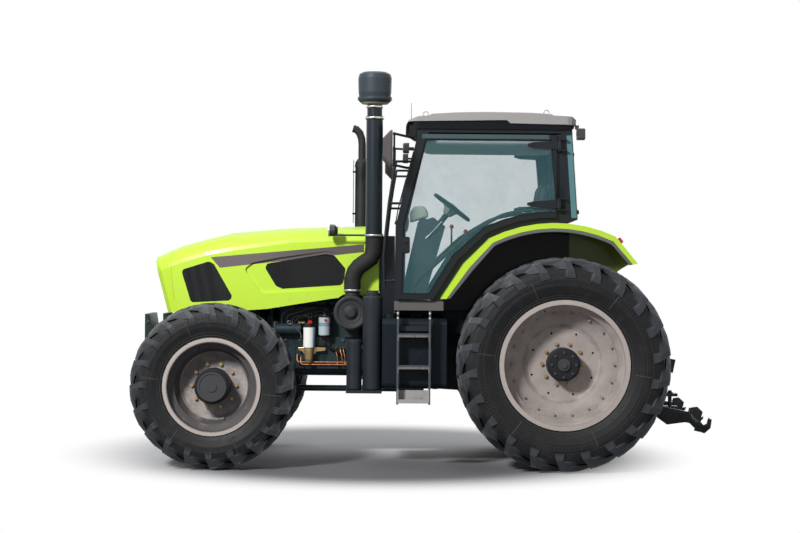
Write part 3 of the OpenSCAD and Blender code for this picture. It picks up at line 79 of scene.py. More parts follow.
def along(x):
    """Place along the frame's X, in metres, of a length from the rear axle in millimetres."""
    return x / MM + AXLE_X


def spot(x, y, z):
    """Point in the frame, in metres, from millimetres measured from the rear axle."""
    return Vector((along(x), y / MM, z / MM))


# Settings a user may change


def length_setting(name, description, default, low, high):
    return bpy.props.FloatProperty(name=name, description=description, default=default, min=low, max=high,
                                   unit="LENGTH", subtype="DISTANCE")


def colour_setting(name, description, default):
    return bpy.props.FloatVectorProperty(name=name, description=description, size=3, subtype="COLOR", min=0,
        max=1,
                                         default=default)


class TractorSizes(bpy.types.PropertyGroup):
    """Sizes of the fine pieces."""

    trim_width: length_setting("Fender trim", "Width of the rubber trim under a fender's lip", 0.030, 0.015,
        0.045)
    clamp_width: length_setting("Band clamps", "Width of the band clamps on the intake", 0.014, 0.008,
        0.024)
    bar_radius: length_setting("Grab bars", "Radius of the grab bars inside the doors", 0.014, 0.009, 0.018)
    hose_radius: length_setting("Fuel hoses", "Radius of the fuel hoses beside the engine", 0.009, 0.005,
        0.012)
    bolt_size: length_setting("Bolts", "Radius of the bolt heads on the castings", 0.012, 0.008, 0.015)


class TractorColours(bpy.types.PropertyGroup):
    """Colours of the finishes."""

    hood: colour_setting("Hood and fenders", "Body paint", (0.500, 0.742, 0.040))
    stripe: colour_setting("Stripe", "Bare stripe along the hood", (0.080, 0.066, 0.064))
    casting: colour_setting("Castings", "Paint of the engine, gearbox and axles", (0.016, 0.030, 0.034))
    cab: colour_setting("Cab frame", "Satin paint of the cab, doors and steps", (0.008, 0.011, 0.015))
    roof: colour_setting("Roof", "Moulded roof shell", (0.345, 0.332, 0.322))
    glass: colour_setting("Glass", "Tint of the panes", (0.050, 0.205, 0.245))
    rim: colour_setting("Rims", "Silver paint of the rims and discs", (0.475, 0.415, 0.385))
    rubber: colour_setting("Tyres", "Tyre rubber", (0.0125, 0.0130, 0.0140))
    tank: colour_setting("Tanks", "Moulded fuel tanks", (0.006, 0.011, 0.016))
    brass: colour_setting("Brass", "Nuts, bowl and unions", (0.52, 0.37, 0.17))


class TractorStage(bpy.types.PropertyGroup):
    """Camera and light."""

    height: length_setting("Camera height", "Height of the camera over the floor", 1.678, 0.2, 6)
    distance: length_setting("Camera distance", "Distance of the camera from the tractor's middle plane",
        14.53, 4, 40)
    lens: bpy.props.FloatProperty(
        name="Lens", description="Focal length in millimetres", default=78.57, min=20, max=200)
    light: bpy.props.FloatProperty(
        name="Light", description="Level of the studio light", default=1.0, min=0.1, max=3,
        subtype="FACTOR")


# Materials


class Value:
    """A socket of a material's node; sums and comparisons on it add Math nodes."""

    def __init__(self, paint, socket):
        self.paint = paint
        self.socket = socket

    def __add__(self, other):
        return self.paint.maths("ADD", self, other)

    def __radd__(self, other):
        return self.paint.maths("ADD", other, self)

    def __sub__(self, other):
        return self.paint.maths("SUBTRACT", self, other)

    def __rsub__(self, other):
        return self.paint.maths("SUBTRACT", other, self)

    def __mul__(self, other):
        return self.paint.maths("MULTIPLY", self, other)

    def __rmul__(self, other):
        return self.paint.maths("MULTIPLY", other, self)

    def __truediv__(self, other):
        return self.paint.maths("DIVIDE", self, other)

    def __pow__(self, other):
        return self.paint.maths("POWER", self, other)

    def __gt__(self, other):
        return self.paint.maths("GREATER_THAN", self, other)

    def __lt__(self, other):
        return self.paint.maths("LESS_THAN", self, other)

    def __abs__(self):
        return self.paint.maths("ABSOLUTE", self)


class Paint:
    """A procedural material in the making, on a principled shader."""

    def __init__(self, name, **plain):
        self.material = bpy.data.materials.new(name)
        self.material.use_nodes = True
        self.tree = self.material.node_tree
        self.tree.nodes.clear()
        self.shader = self.tree.nodes.new("ShaderNodeBsdfPrincipled")
        out = self.tree.nodes.new("ShaderNodeOutputMaterial")
        self.tree.links.new(self.shader.outputs[0], out.inputs["Surface"])
        for socket, value in plain.items():
            self.put(self.shader.inputs[socket.replace("_", " ")], value)
        self.place = self.node("ShaderNodeTexCoord", output="Object")
        split = self.tree.nodes.new("ShaderNodeSeparateXYZ")
        self.put(split.inputs[0], self.place)
        self.x, self.y, self.z = (Value(self, split.outputs[i]) for i in range(3))

    def put(self, socket, value):
        """Links a value to a socket, or sets the socket to a number or colour."""
        if isinstance(value, Value):
            self.tree.links.new(value.socket, socket)
        elif hasattr(value, "__len__") and len(socket.default_value) == 4 and len(value) == 3:
            socket.default_value = (*value, 1)
        else:
            socket.default_value = value

    def node(self, kind, settings=None, inputs=None, output=0):
        """Adds a node of a type, with its settings and the values or links of its sockets."""
        made = self.tree.nodes.new(kind)
        for name, value in (settings or {}).items():
            setattr(made, name, value)
        for name, value in (inputs or {}).items():
            self.put(made.inputs[name], value)
        return Value(self, made.outputs[output])

    def maths(self, operation, a, b=0.0):
        return self.node("ShaderNodeMath", {"operation": operation}, {0: a, 1: b})

    def vector(self, x, y, z):
        return self.node("ShaderNodeCombineXYZ", None, {0: x, 1: y, 2: z})

    def noise(self, scale, detail=2.0, roughness=0.5, at=None):
        return self.node("ShaderNodeTexNoise", None, {
            "Vector": at or self.place, "Scale": scale, "Detail": detail, "Roughness": roughness})

    def cells(self, scale, at=None, feature="F1", randomness=1.0):
        return self.node("ShaderNodeTexVoronoi", {"feature": feature}, {
            "Vector": at or self.place, "Scale": scale, "Randomness": randomness})

    def smooth(self, value, low, high):
        """0 below low and 1 above high, with a soft step between them."""
        return self.node("ShaderNodeMapRange", {"interpolation_type": "SMOOTHSTEP"}, {
            "Value": value, "From Min": low, "From Max": high})

    def band(self, value, low, high, soft=0.001):
        """1 between low and high, and 0 outside."""
        return self.smooth(value, low - soft, low + soft) * self.smooth(value, high + soft, high - soft)

    def spots(self, scale, detail, roughness, low, high):
        """Patches where the noise rises from low to high."""
        return self.smooth(self.noise(scale, detail, roughness), low, high)

    def clamped(self, value):
        return self.least(self.most(value, 0.0), 1.0)

    def mix(self, factor, a, b, blend="MIX"):
        return self.node("ShaderNodeMix", {"data_type": "RGBA", "blend_type": blend, "clamp_factor": True},
                         {0: factor, 6: a, 7: b}, 2)

    def most(self, a, b):
        return self.maths("MAXIMUM", a, b)

    def least(self, a, b):
        return self.maths("MINIMUM", a, b)

    def wave(self, value, pitch):
        """Runs from 0 to 1 and back once in a pitch."""
        return self.maths("PINGPONG", value / (pitch / 2), 1.0)

    def radius(self, x, z):
        """Distance from an axis along Y."""
        return self.maths("SQRT", (self.x - x) * (self.x - x) + (self.z - z) * (self.z - z))

    def angle(self, x, z):
        return self.maths("ARCTAN2", self.z - z, self.x - x)

    def normal(self, axis):
        """One part of the surface's own direction."""
        split = self.tree.nodes.new("ShaderNodeSeparateXYZ")
        self.put(split.inputs[0], self.node("ShaderNodeNewGeometry", output="True Normal"))
        return Value(self, split.outputs[axis])

    def bump(self, height, distance, strength=1.0):
        return self.node("ShaderNodeBump", None, {"Height": height, "Distance": distance,
            "Strength": strength})

    def done(self, **links):
        """Links what varies over the surface and gives the material."""
        for socket, value in links.items():
            self.put(self.shader.inputs[socket.replace("_", " ")], value)
        return self.material


def darker(colour, share):
    return tuple(c * share for c in colour)


def satin(name, colour, coat=0.3):
    """A start for sprayed paint: the paint, its orange peel and its tone with faint patches."""
    p = Paint(name, Specular_IOR_Level=0.24, Coat_Weight=coat * 0.3, Coat_Roughness=0.12)
    return p, p.noise(260, 2, 0.6), p.mix(p.noise(3.5, 4, 0.55) * 0.5, colour, darker(colour, 0.72))


def painted_metal(name, colour, rough=0.35, dust=0.25):
    """Sprayed paint with dust that gathers low down."""
    p, grain, tone = satin(name, colour)
    settle = p.smooth(p.z, 1.1, 0.25) * p.spots(9, 5, 0.65, 0.42, 0.72)
    tone = p.mix(settle * dust, tone, (0.19, 0.175, 0.15))
    return p.done(Base_Color=tone, Roughness=rough + grain * 0.06 + settle * 0.3,
        Normal=p.bump(grain, 0.0004, 0.4))


def cast_metal(name, colour, rough=0.5, stain=0.6):
    """Sand-cast iron under paint, with oil stains and dust on what faces up."""
    p = Paint(name, Specular_IOR_Level=0.20)
    coarse = p.noise(7, 6, 0.6)
    sand = p.noise(420, 3, 0.7)
    oil = p.smooth(coarse, 0.5, 0.66)
    tone = p.mix(oil * stain, colour, darker(colour, 0.38))
    dust = p.spots(16, 5, 0.7, 0.55, 0.75) * p.smooth(p.normal(2), 0.2, 0.9)
    tone = p.mix(dust * 0.5, tone, (0.16, 0.145, 0.12))
    return p.done(Base_Color=tone, Roughness=rough - oil * 0.18 + dust * 0.3,
                  Normal=p.bump(sand + coarse * 2, 0.0012, 0.55))


def moulded(name, colour, rough=0.55, grain=900):
    """Moulded plastic or rubber with a fine texture and faint scuffs."""
    p = Paint(name, Specular_IOR_Level=0.16)
    skin = p.noise(grain, 2, 0.6)
    scuff = p.spots(14, 6, 0.7, 0.55, 0.72)
    tone = p.mix(p.noise(4, 3) * 0.35, colour, darker(colour, 0.75))
    tone = p.mix(scuff * 0.12, tone, tuple(min(1, c * 1.6 + 0.05) for c in colour))
    return p.done(Base_Color=tone, Roughness=rough + skin * 0.08 - scuff * 0.06,
        Normal=p.bump(skin, 0.0005, 0.4))


def bare_metal(name, colour, rough=0.28, metallic=1.0):
    """Turned or plated metal with fine scratches."""
    p = Paint(name)
    scratches = p.noise(1.0, 3, 0.6, at=p.vector(p.x * 900, p.y * 60, p.z * 900))
    patches = p.noise(22, 4, 0.6)
    tone = p.mix(patches * 0.5, colour, darker(colour, 0.68))
    return p.done(Base_Color=tone, Metallic=metallic - patches * 0.15, Roughness=rough + scratches * 0.16,
                  Normal=p.bump(scratches, 0.0002, 0.5))


def hood_paint(colours):
    """Body paint with the bare stripe along each side, a soft coat and road dust."""
    p = Paint("hood_paint", Specular_IOR_Level=0.4, Coat_Weight=0.18, Coat_Roughness=0.12)
    x = p.x - AXLE_X
    peel = p.noise(180, 2, 0.5)
    green = p.mix(p.noise(2.2, 3, 0.5) * 0.30, tuple(colours.hood), darker(colours.hood, 0.86))
    top = 1.656 + (2.819 - x) * 0.0928
    foot = 1.569 + (2.742 - x) * 0.1174
    front = 2.742 + (p.z - 1.569) * 0.885
    stripe = (p.smooth(top - p.z, 0, 0.002) * p.smooth(p.z - foot, 0, 0.002) * p.smooth(front - x, 0, 0.002)
              * p.smooth(x, 1.575, 1.577) * p.smooth(abs(p.y), 0.28, 0.285))
    grey = p.mix(p.smooth(x, 1.9, 2.6), tuple(colours.stripe), darker(colours.stripe, 1.5))
    # The fine seam of the nose cap
    seam = p.band(x - p.z * 0.10, 2.985, 2.988, 0.001) * p.smooth(p.z, 1.30, 1.31)
    dust = p.spots(7, 5, 0.65, 0.5, 0.8) * p.smooth(p.z, 1.7, 1.25)
    tone = p.mix(dust * 0.22, p.mix(stripe, green, grey), (0.30, 0.28, 0.20))
    tone = p.mix(seam * 0.75, tone, darker(colours.hood, 0.25))
    return p.done(Base_Color=tone, Roughness=0.42 + stripe * 0.12 + peel * 0.05 + dust * 0.2,
                  Normal=p.bump(peel - seam * 6, 0.0004, 0.35))


def fender_paint(colours):
    """Body paint on a fender's skin, with a dark undercoat inside the wheel arch, and painted shade in dark
    green on the rest of its inner face.
    """
    p = Paint("fender_paint", Specular_IOR_Level=0.3, Coat_Weight=0.12, Coat_Roughness=0.1)
    peel = p.noise(180, 2, 0.5)
    splash = p.spots(11, 6, 0.7, 0.5, 0.75)
    green = p.mix(p.noise(2.4, 3) * 0.35, tuple(colours.hood), darker(colours.hood, 0.84))
    inner = p.smooth(abs(p.y), 0.5925, 0.5915)
    wall = inner * p.smooth(p.x, along(-75), along(-55))
    # The inner face of the skin is painted a dark green as painted shade, deepest towards the front
    shade = p.smooth(p.x, along(-560), along(-380)) * 0.35 + 0.5
    green = p.mix(inner * shade, green, darker(colours.hood, 0.05))
    under = p.smooth(p.normal(2), -0.05, -0.12) * p.smooth(abs(p.y), 0.969, 0.968)
    dark = p.most(wall, under * p.smooth(p.x, along(-330), along(-320)))
    undercoat = p.mix(splash * 0.5, (0.004, 0.005, 0.007), (0.022, 0.020, 0.018))
    return p.done(Base_Color=p.mix(dark, green, undercoat), Roughness=0.34 + dark * 0.45 + peel * 0.05,
                  Normal=p.bump(peel + dark * splash * 8, 0.0006, 0.4))


def in_metres(wheel):
    """A wheel's lengths in metres, and its shares from 0 to 1."""
    return {name: value / MM for name, value in wheel.items()}


def tyre_rubber(colours, end, side):
    """Tyre rubber with moulded rings and radial lines on the sidewall, worn, dusty lugs, and painted light:
    shade and sheen between the lugs, sheen on the lugs, highlights on their edges and on the rings.
    """
    p = Paint(f"{end}_{side}_rubber", Specular_IOR_Level=0.20)
    x, y, z = JOINTS[f"{end}_{side}_spin"]["pos_m"]
    size = in_metres(WHEELS[end])
    rim_r, tyre_r, width, lug_h = (size[name] for name in ("rim_r", "tyre_r", "width", "lug_h"))
    r = p.radius(x, z)
    angle = p.angle(x, z)
    out = abs(p.y - y)
    wall = p.smooth(r, tyre_r - 0.075, tyre_r - 0.11) * p.smooth(out, width * 0.36, width * 0.39)
    rings = (p.band(r, rim_r + 0.016, rim_r + 0.021) + p.band(r, rim_r + 0.036, rim_r + 0.039)
             + p.band(r, rim_r + 0.125, rim_r + 0.128) + p.band(r, rim_r + 0.175, rim_r + 0.178))
    lines = p.smooth(p.maths("SINE", angle * 150), 0.55, 0.9) * p.band(r, rim_r + 0.13, rim_r + 0.172,
        0.003)
    few = p.smooth(p.maths("SINE", angle * 6 + 0.8), 0.9985, 0.9998) * p.band(r, rim_r + 0.04, rim_r + 0.17,
        0.003)
    # Wear at the lug tops, which also carries a painted highlight along their edges
    wear_and_highlight = p.smooth(r + p.noise(9, 4, 0.6) * 0.02, tyre_r - 0.024, tyre_r - 0.004)
    dirt = p.spots(13, 6, 0.68, 0.46, 0.74)
    base = tuple(colours.rubber)
    tone = p.mix(p.noise(5, 4, 0.6) * 0.6, base, darker(base, 0.5))
    # Where the surface stands proud of the carcass it is a lug
    shoulder = tyre_r - lug_h - 0.030
    share = p.clamped((shoulder - r) / (shoulder - rim_r - 0.006))
    proud = out - (width * TREAD_HALF - share * (width * 0.03) + p.maths("SINE", share * math.pi)
        * (width * 0.0735))
    across = out / (width * TREAD_HALF)
    over = r - (tyre_r - lug_h) + across * across * 0.030
    lug = p.most(p.smooth(over, 0.005, 0.016), p.smooth(proud, 0.002, 0.009))
    # Between two lugs the carcass is painted from shade, near black, behind one lug to a painted sheen in
    # front of the next
    sweep = math.radians(LUG_SWEEP)
    low = p.clamped((tyre_r - 0.015 - r) / (lug_h + 0.045))
    first = LUG_START * size["lug_w"] / tyre_r - math.pi / 2 + sweep * 0.88
    other = p.smooth(p.y, y + 0.001, y - 0.001) * 0.5
    pitch = math.tau / WHEELS[end]["count"]
    turn = p.maths("FRACT", (angle - first - low * (sweep * 0.17)) / pitch + other + 64.0)
    painted_sheen = p.mix(p.smooth(turn, 0.30, 0.80), (0.003, 0.0035, 0.0045), (0.040, 0.044, 0.050))
    tone = p.mix(p.smooth(r, shoulder - 0.045, shoulder - 0.005) * (1 - lug), tone, painted_sheen)
    # The lugs are painted a lighter bluish grey than the carcass: a painted sheen
    tone = p.mix(lug, tone, p.mix(p.noise(11, 4, 0.6), (0.026, 0.029, 0.034), (0.052, 0.057, 0.064)))
    # The lug tops are painted paler: partly wear, partly a painted highlight along their edges
    tone = p.mix(wear_and_highlight * p.spots(18, 4, 0.6, 0.30, 0.55), tone, (0.090, 0.096, 0.104))
    tone = p.mix(dirt * (0.07 + wear_and_highlight * 0.40), tone, (0.150, 0.138, 0.122))
    # The moulded rings and marks are painted paler: a painted highlight along their ridges
    tone = p.mix(p.least((rings + few) * 0.30 * wall, 0.5), tone, (0.11, 0.115, 0.12))
    height = p.noise(240, 3, 0.6) * 0.5 + wall * (rings * 2.4 + lines * 1.2 + few * 1.6)
    return p.done(Base_Color=tone, Roughness=0.50 + dirt * 0.24 - wear_and_highlight * 0.04,
        Normal=p.bump(height, 0.0016, 0.8))


def rim_paint(colours, end, side):
    """Silver paint on the rim, with a dark hub, brass nuts, grime and painted shade round the disc, painted
    shade inside the barrel and a painted highlight on the hub's end.
    """
    p = Paint(f"{end}_{side}_silver", Specular_IOR_Level=0.10)
    x, y, z = JOINTS[f"{end}_{side}_spin"]["pos_m"]
    size = in_metres(WHEELS[end])
    disc_r, rim_r, face = (size[name] for name in ("disc", "rim_r", "face"))
    r = p.radius(x, z)
    out = (p.y - y) * SIDES[side]
    brushed = p.noise(1, 4, 0.6, at=p.vector(r * 260, p.angle(x, z) * 2.2, p.y * 30))
    patches = p.noise(8, 5, 0.6)
    base = tuple(colours.rim)
    tone = p.mix(patches * 0.6, base, darker(base, 0.62))
    # Grime and painted shade where the disc meets the barrel, painted shade in the well, and grime round the
    # nuts
    dish = p.band(r, disc_r - 0.004, disc_r + 0.030, 0.012)
    well_shade = p.smooth(r, disc_r + 0.02, rim_r - 0.09) * p.smooth(r, rim_r - 0.02, rim_r - 0.055)
    tone = p.mix((dish * 0.55 + well_shade * 0.35) * p.smooth(patches, 0.25, 0.75), tone, (0.09, 0.082, 0.08))
    # Painted shade inside the barrel, near full on the front rims and light on the rear ones
    barrel = (p.smooth(r, disc_r + 0.004, disc_r + 0.016)
        * p.smooth(r, size["lip"] + 0.006, size["lip"] - 0.006)
              * size["barrel_shade"] * p.spots(3.2, 4, 0.6, 0.15, 0.45))
    tone = p.mix(barrel, tone, (0.050, 0.048, 0.052))
    disc = p.smooth(r, disc_r + 0.006, disc_r - 0.006)
    tone = p.mix(disc * size["grey"] * p.spots(6, 4, 0.6, 0.30, 0.62), tone, (0.155, 0.150, 0.155))
    hub = p.smooth(r, size["hub"] + 0.004, size["hub"] + 0.001) * p.smooth(out, face + 0.0005, face + 0.002)
    # The parts that stand proud of the hub's end are painted paler: a painted highlight
    raised_highlight = p.smooth(out, size["end"], size["end"] + 0.002)
    tone = p.mix(hub, tone, p.mix(patches, (0.030, 0.031, 0.033), (0.012, 0.012, 0.014)))
    tone = p.mix(hub * raised_highlight * 0.6, tone, (0.080, 0.080, 0.083))
    nuts = p.band(r, size["nuts"] - 0.019, size["nuts"] + 0.019) * p.smooth(out, face + 0.0025,
        face + 0.004)
    tone = p.mix(nuts, tone, p.mix(p.noise(30), darker(colours.brass, 0.95), darker(colours.brass, 0.5)))
    rust = p.spots(34, 6, 0.7, 0.62, 0.70) * p.smooth(r, rim_r - 0.05, rim_r - 0.01)
    tone = p.mix(rust * 0.5, tone, (0.16, 0.085, 0.05))
    return p.done(Base_Color=tone, Metallic=nuts * 0.5,
                  Roughness=0.46 + patches * 0.16 - hub * 0.08 + brushed * 0.06,
                  Normal=p.bump(brushed + patches * 2, 0.0006, 0.5))


def pane(colours, name):
    """Tinted glass with a faint film of dust."""
    p = Paint(name, Roughness=0.04, IOR=1.5, Coat_Weight=0.6, Coat_Roughness=0.02)
    film = p.spots(5, 5, 0.6, 0.35, 0.8)
    tone = p.mix(film * 0.25, tuple(colours.glass), (0.10, 0.20, 0.22))
    return p.done(Base_Color=tone, Alpha=0.16 + film * 0.04)


def perforated(name, colour):
    """Sheet with rows of small round holes."""
    p = Paint(name, Specular_IOR_Level=0.14)
    holes = p.smooth(p.cells(105, randomness=0.0), 0.42, 0.30)
    tone = p.mix(p.noise(6, 4) * 0.5, colour, darker(colour, 0.6))
    tone = p.mix(holes * 0.85, tone, (0.004, 0.004, 0.005))
    return p.done(Base_Color=tone, Roughness=0.5 + holes * 0.3, Normal=p.bump(1 - holes, 0.0018, 0.7))


def roof_shell(colours):
    """Pale moulded shell over a dark fascia."""
    p = Paint("roof_shell", Specular_IOR_Level=0.12)
    x = p.x - AXLE_X
    lower = p.smooth(x, 0.459, 0.421)
    edge = (2.7405 + (1.2 - x) * 0.0189) * (1 - lower) + (2.7215 + x * 0.019) * lower
    dark = p.smooth(edge - p.z, 0.0, 0.0015)
    grain = p.noise(600, 2, 0.6)
    streaks = p.noise(1, 5, 0.6, at=p.vector(p.x * 4, p.y * 4, p.z * 30))
    pale = p.mix(streaks * 0.5, tuple(colours.roof), darker(colours.roof, 0.74))
    return p.done(Base_Color=p.mix(dark, pale, (0.004, 0.005, 0.008)), Roughness=0.5 + grain * 0.1,
                  Normal=p.bump(grain, 0.0006, 0.4))


def filters(colours):
    """Black cylinders, and the fuel filters with their heads, bowl and bands of colour."""
    p = Paint("canister_paint", Specular_IOR_Level=0.22, Coat_Weight=0.08, Coat_Roughness=0.2)
    x = p.x - AXLE_X
    patches = p.noise(6, 5, 0.6)
    out = p.smooth(p.y, 0.262, 0.264)
    white, pale, bowl, red = (p.band(x, x_low, x_high) * p.band(p.z, z_low, z_high) * out
                              for x_low, x_high, z_low, z_high in (
        (1.968, 2.075, 0.921, 1.090), (1.845, 1.950, 1.024, 1.172), (1.975, 2.067, 0.790, 0.9185),
        (2.002, 2.040, 1.122, 1.150)))
    stripe = p.band(x, 1.970, 1.990) * white
    tone = p.mix(patches, (0.010, 0.014, 0.018), (0.022, 0.026, 0.031))
    tone = p.mix(white, tone, p.mix(patches, (0.93, 0.92, 0.88), (0.80, 0.79, 0.74)))
    tone = p.mix(stripe, tone, (0.30, 0.47, 0.70))
    tone = p.mix(pale, tone, p.mix(p.band(p.z, 1.10, 1.13), (0.42, 0.50, 0.53), (0.20, 0.30, 0.34)))
    tone = p.mix(bowl, tone, p.mix(patches, tuple(colours.brass), darker(colours.brass, 0.6)))
    tone = p.mix(red, tone, (0.62, 0.012, 0.010))
    return p.done(Base_Color=tone, Metallic=bowl * 0.6, Roughness=0.38 + patches * 0.12,
                  Normal=p.bump(p.noise(300, 2), 0.0004, 0.3))


def stack_paint():
    """Blue-black paint on the stack, with a paler moulded pre-cleaner and its cream ring."""
    p = Paint("stack_paint", Specular_IOR_Level=0.22, Coat_Weight=0.08, Coat_Roughness=0.15)
    patches = p.noise(4, 4, 0.6)
    grain = p.noise(300, 2)
    tone = p.mix(patches * 0.6, (0.008, 0.014, 0.019), (0.016, 0.024, 0.031))
    head = p.smooth(p.z, 2.905, 2.910)
    tone = p.mix(head, tone, p.mix(patches, (0.026, 0.036, 0.046), (0.040, 0.051, 0.061)))
    tone = p.mix(p.band(p.z, 2.886, 2.905, 0.002), tone, (0.34, 0.31, 0.25))
    return p.done(Base_Color=tone, Roughness=0.33 + head * 0.12 + grain * 0.05,
        Normal=p.bump(grain, 0.0004, 0.4))


def step_paint(cab):
    """Paint of the ladders, rubbed pale on the treads' edges and on the plate over the lowest step."""
    p = Paint("step_paint", Specular_IOR_Level=0.3)
    patches = p.noise(7, 5, 0.6)
    scrape = p.noise(1, 4, 0.65, at=p.vector(p.x * 60, p.y * 8, p.z * 8))
    inside = p.band(p.x - AXLE_X, 1.050, 1.297)
    tread = (p.band(p.z, 0.765, 0.812) + p.band(p.z, 1.014, 1.061)) * inside * p.smooth(abs(p.y), 0.905,
        0.912)
    plate = p.band(p.z, 0.532, 0.640) * inside
    rail = p.smooth(abs(p.y), 0.912, 0.917)
    tone = p.mix(patches * 0.5, darker(cab, 1.3), darker(cab, 0.9))
    tone = p.mix(rail * 0.8, tone, (0.070, 0.080, 0.090))
    tone = p.mix(tread * p.smooth(scrape, 0.25, 0.55), tone, (0.165, 0.150, 0.145))
    tone = p.mix(plate * p.smooth(patches, 0.2, 0.5), tone, (0.34, 0.325, 0.315))
    return p.done(Base_Color=tone, Roughness=0.42 + patches * 0.14, Normal=p.bump(scrape, 0.0005, 0.5))


def frame_paint(name, cab, sill_y):
    """Paint of the cab frame, with a paler sill, and the tinted edge of the rear quarter's glass."""
    p, grain, tone = satin(name, cab)
    out = abs(p.y)
    sill = p.band(p.z, 1.250, 1.322, 0.003) * p.smooth(out, sill_y - 0.002, sill_y)
    tone = p.mix(sill, tone, p.mix(p.noise(3.5, 4, 0.55), (0.130, 0.116, 0.112), (0.095, 0.086, 0.086)))
    edge = p.x - AXLE_X - (-0.112 + (p.z - 1.975) * 0.0705)
    strip = p.band(edge, 0.006, 0.048, 0.002) * p.band(p.z, 1.990, 2.640, 0.004) * p.smooth(out, 0.750,
        0.758)
    tone = p.mix(strip, tone, (0.085, 0.200, 0.225))
    return p.done(Base_Color=tone, Roughness=0.34 + grain * 0.06 - strip * 0.2,
        Normal=p.bump(grain, 0.0004, 0.4))


def door_paint(name, cab):
    """Paint of a door's frame, with the tinted glass that laps over its top rail."""
    p, grain, tone = satin(name, cab)
    rail = p.smooth(p.z, 2.604, 2.608) * p.smooth(abs(p.y), 0.798, 0.799) * p.band(p.x, along(120),
        along(1120), 0.004)
    tone = p.mix(rail, tone, p.mix(p.noise(3.5, 4, 0.55), (0.060, 0.092, 0.102), (0.040, 0.066, 0.076)))
    return p.done(Base_Color=tone, Roughness=0.34 + grain * 0.06 - rail * 0.15,
        Normal=p.bump(grain, 0.0004, 0.4))


def cleaner_plastic():
    """Black plastic with moulded rings on the end."""
    p = Paint("air_cleaner_plastic", Specular_IOR_Level=0.25)
    rings = p.wave(p.radius(along(1675), 1.222), 0.022) * p.smooth(p.y, 0.57, 0.575)
    return p.done(Base_Color=p.mix(p.noise(7, 4) * 0.7, (0.022, 0.024, 0.026), (0.040, 0.042, 0.044)),
                  Roughness=0.5 + rings * 0.1, Normal=p.bump(rings, 0.0025, 0.6))


def radiator_core():
    """Fins across, and tubes up and down."""
    p = Paint("radiator_core", Metallic=0.4)
    fins = p.wave(p.y, 0.006)
    tubes = p.wave(p.z, 0.014)
    return p.done(Base_Color=p.mix(fins * tubes, (0.010, 0.010, 0.011), (0.10, 0.10, 0.10)),
                  Roughness=0.5 + tubes * 0.1, Normal=p.bump(fins + tubes, 0.002, 0.8))


def headlamp_glass():
    """Fluted glass over bright cups."""
    p = Paint("headlamp_glass", IOR=1.5, Coat_Weight=1.0, Coat_Roughness=0.03)
    flutes = p.wave(p.y, 0.011)
    cup = p.smooth(p.wave(p.y - 0.02, 0.22), 0.15, 0.75) * p.smooth(p.wave(p.z - 1.43, 0.11), 0.1, 0.7)
    return p.done(Base_Color=p.mix(cup, (0.10, 0.11, 0.12), (0.72, 0.75, 0.78)), Metallic=cup * 0.6,
                  Roughness=0.10 + flutes * 0.14, Normal=p.bump(flutes, 0.0012, 0.5))


def lamp_plastic():
    """Black lamp bodies, and the amber and red lenses of the tail lamps."""
    p = Paint("lamp_plastic", Coat_Weight=0.4, Coat_Roughness=0.1)
    tail = p.smooth(p.x, along(-375), along(-378)) * p.smooth(p.z, 1.9, 1.89)
    body = p.mix(p.noise(20, 3), (0.014, 0.015, 0.017), (0.030, 0.031, 0.034))
    lens = p.mix(p.smooth(p.wave(p.y - 0.9, 0.13), 0.15, 0.2), (0.50, 0.10, 0.004), (0.46, 0.006, 0.006))
    return p.done(Base_Color=p.mix(tail, body, lens), Roughness=0.34 - tail * 0.2,
                  Normal=p.bump(p.wave(p.y, 0.010) * tail, 0.0014, 0.6))


def mirror_plastic():
    """Black arms and warm grey shells."""
    p = Paint("mirror_plastic", Specular_IOR_Level=0.3)
    shell = p.smooth(abs(p.y), 0.925, 0.929) * p.smooth(p.x, along(1350), along(1351))
    skin = p.noise(700, 2)
    warm = p.mix(p.noise(9, 3), (0.068, 0.058, 0.056), (0.05, 0.043, 0.042))
    return p.done(Base_Color=p.mix(shell, (0.017, 0.018, 0.021), warm), Roughness=0.48 + skin * 0.08,
                  Normal=p.bump(skin, 0.0005, 0.4))


def dash_plastic():
    """Dark console with a pale dash under its black top, and red knobs on the levers."""
    p = Paint("dash_plastic")
    dash = p.smooth(p.x, along(1010), along(1012)) * p.smooth(abs(p.y), 0.18, 0.179)
    top = p.smooth(p.z, 1.872, 1.882) * p.smooth(p.normal(2), 0.15, 0.3)
    knobs = p.smooth(p.z, 1.865, 1.869) * p.smooth(p.x, along(900), along(895)) * p.smooth(p.y, -0.22,
        -0.225)
    skin = p.noise(800, 2, 0.6)
    tone = p.mix(dash, (0.030, 0.034, 0.036), p.mix(top, (0.022, 0.028, 0.030), (0.36, 0.42, 0.38)))
    tone = p.mix(knobs, tone, (0.55, 0.014, 0.012))
    tone = p.mix(p.noise(6, 4) * 0.3, tone, (0.02, 0.022, 0.024))
    return p.done(Base_Color=tone, Roughness=0.52 + skin * 0.08 - knobs * 0.3,
        Normal=p.bump(skin, 0.0006, 0.5))


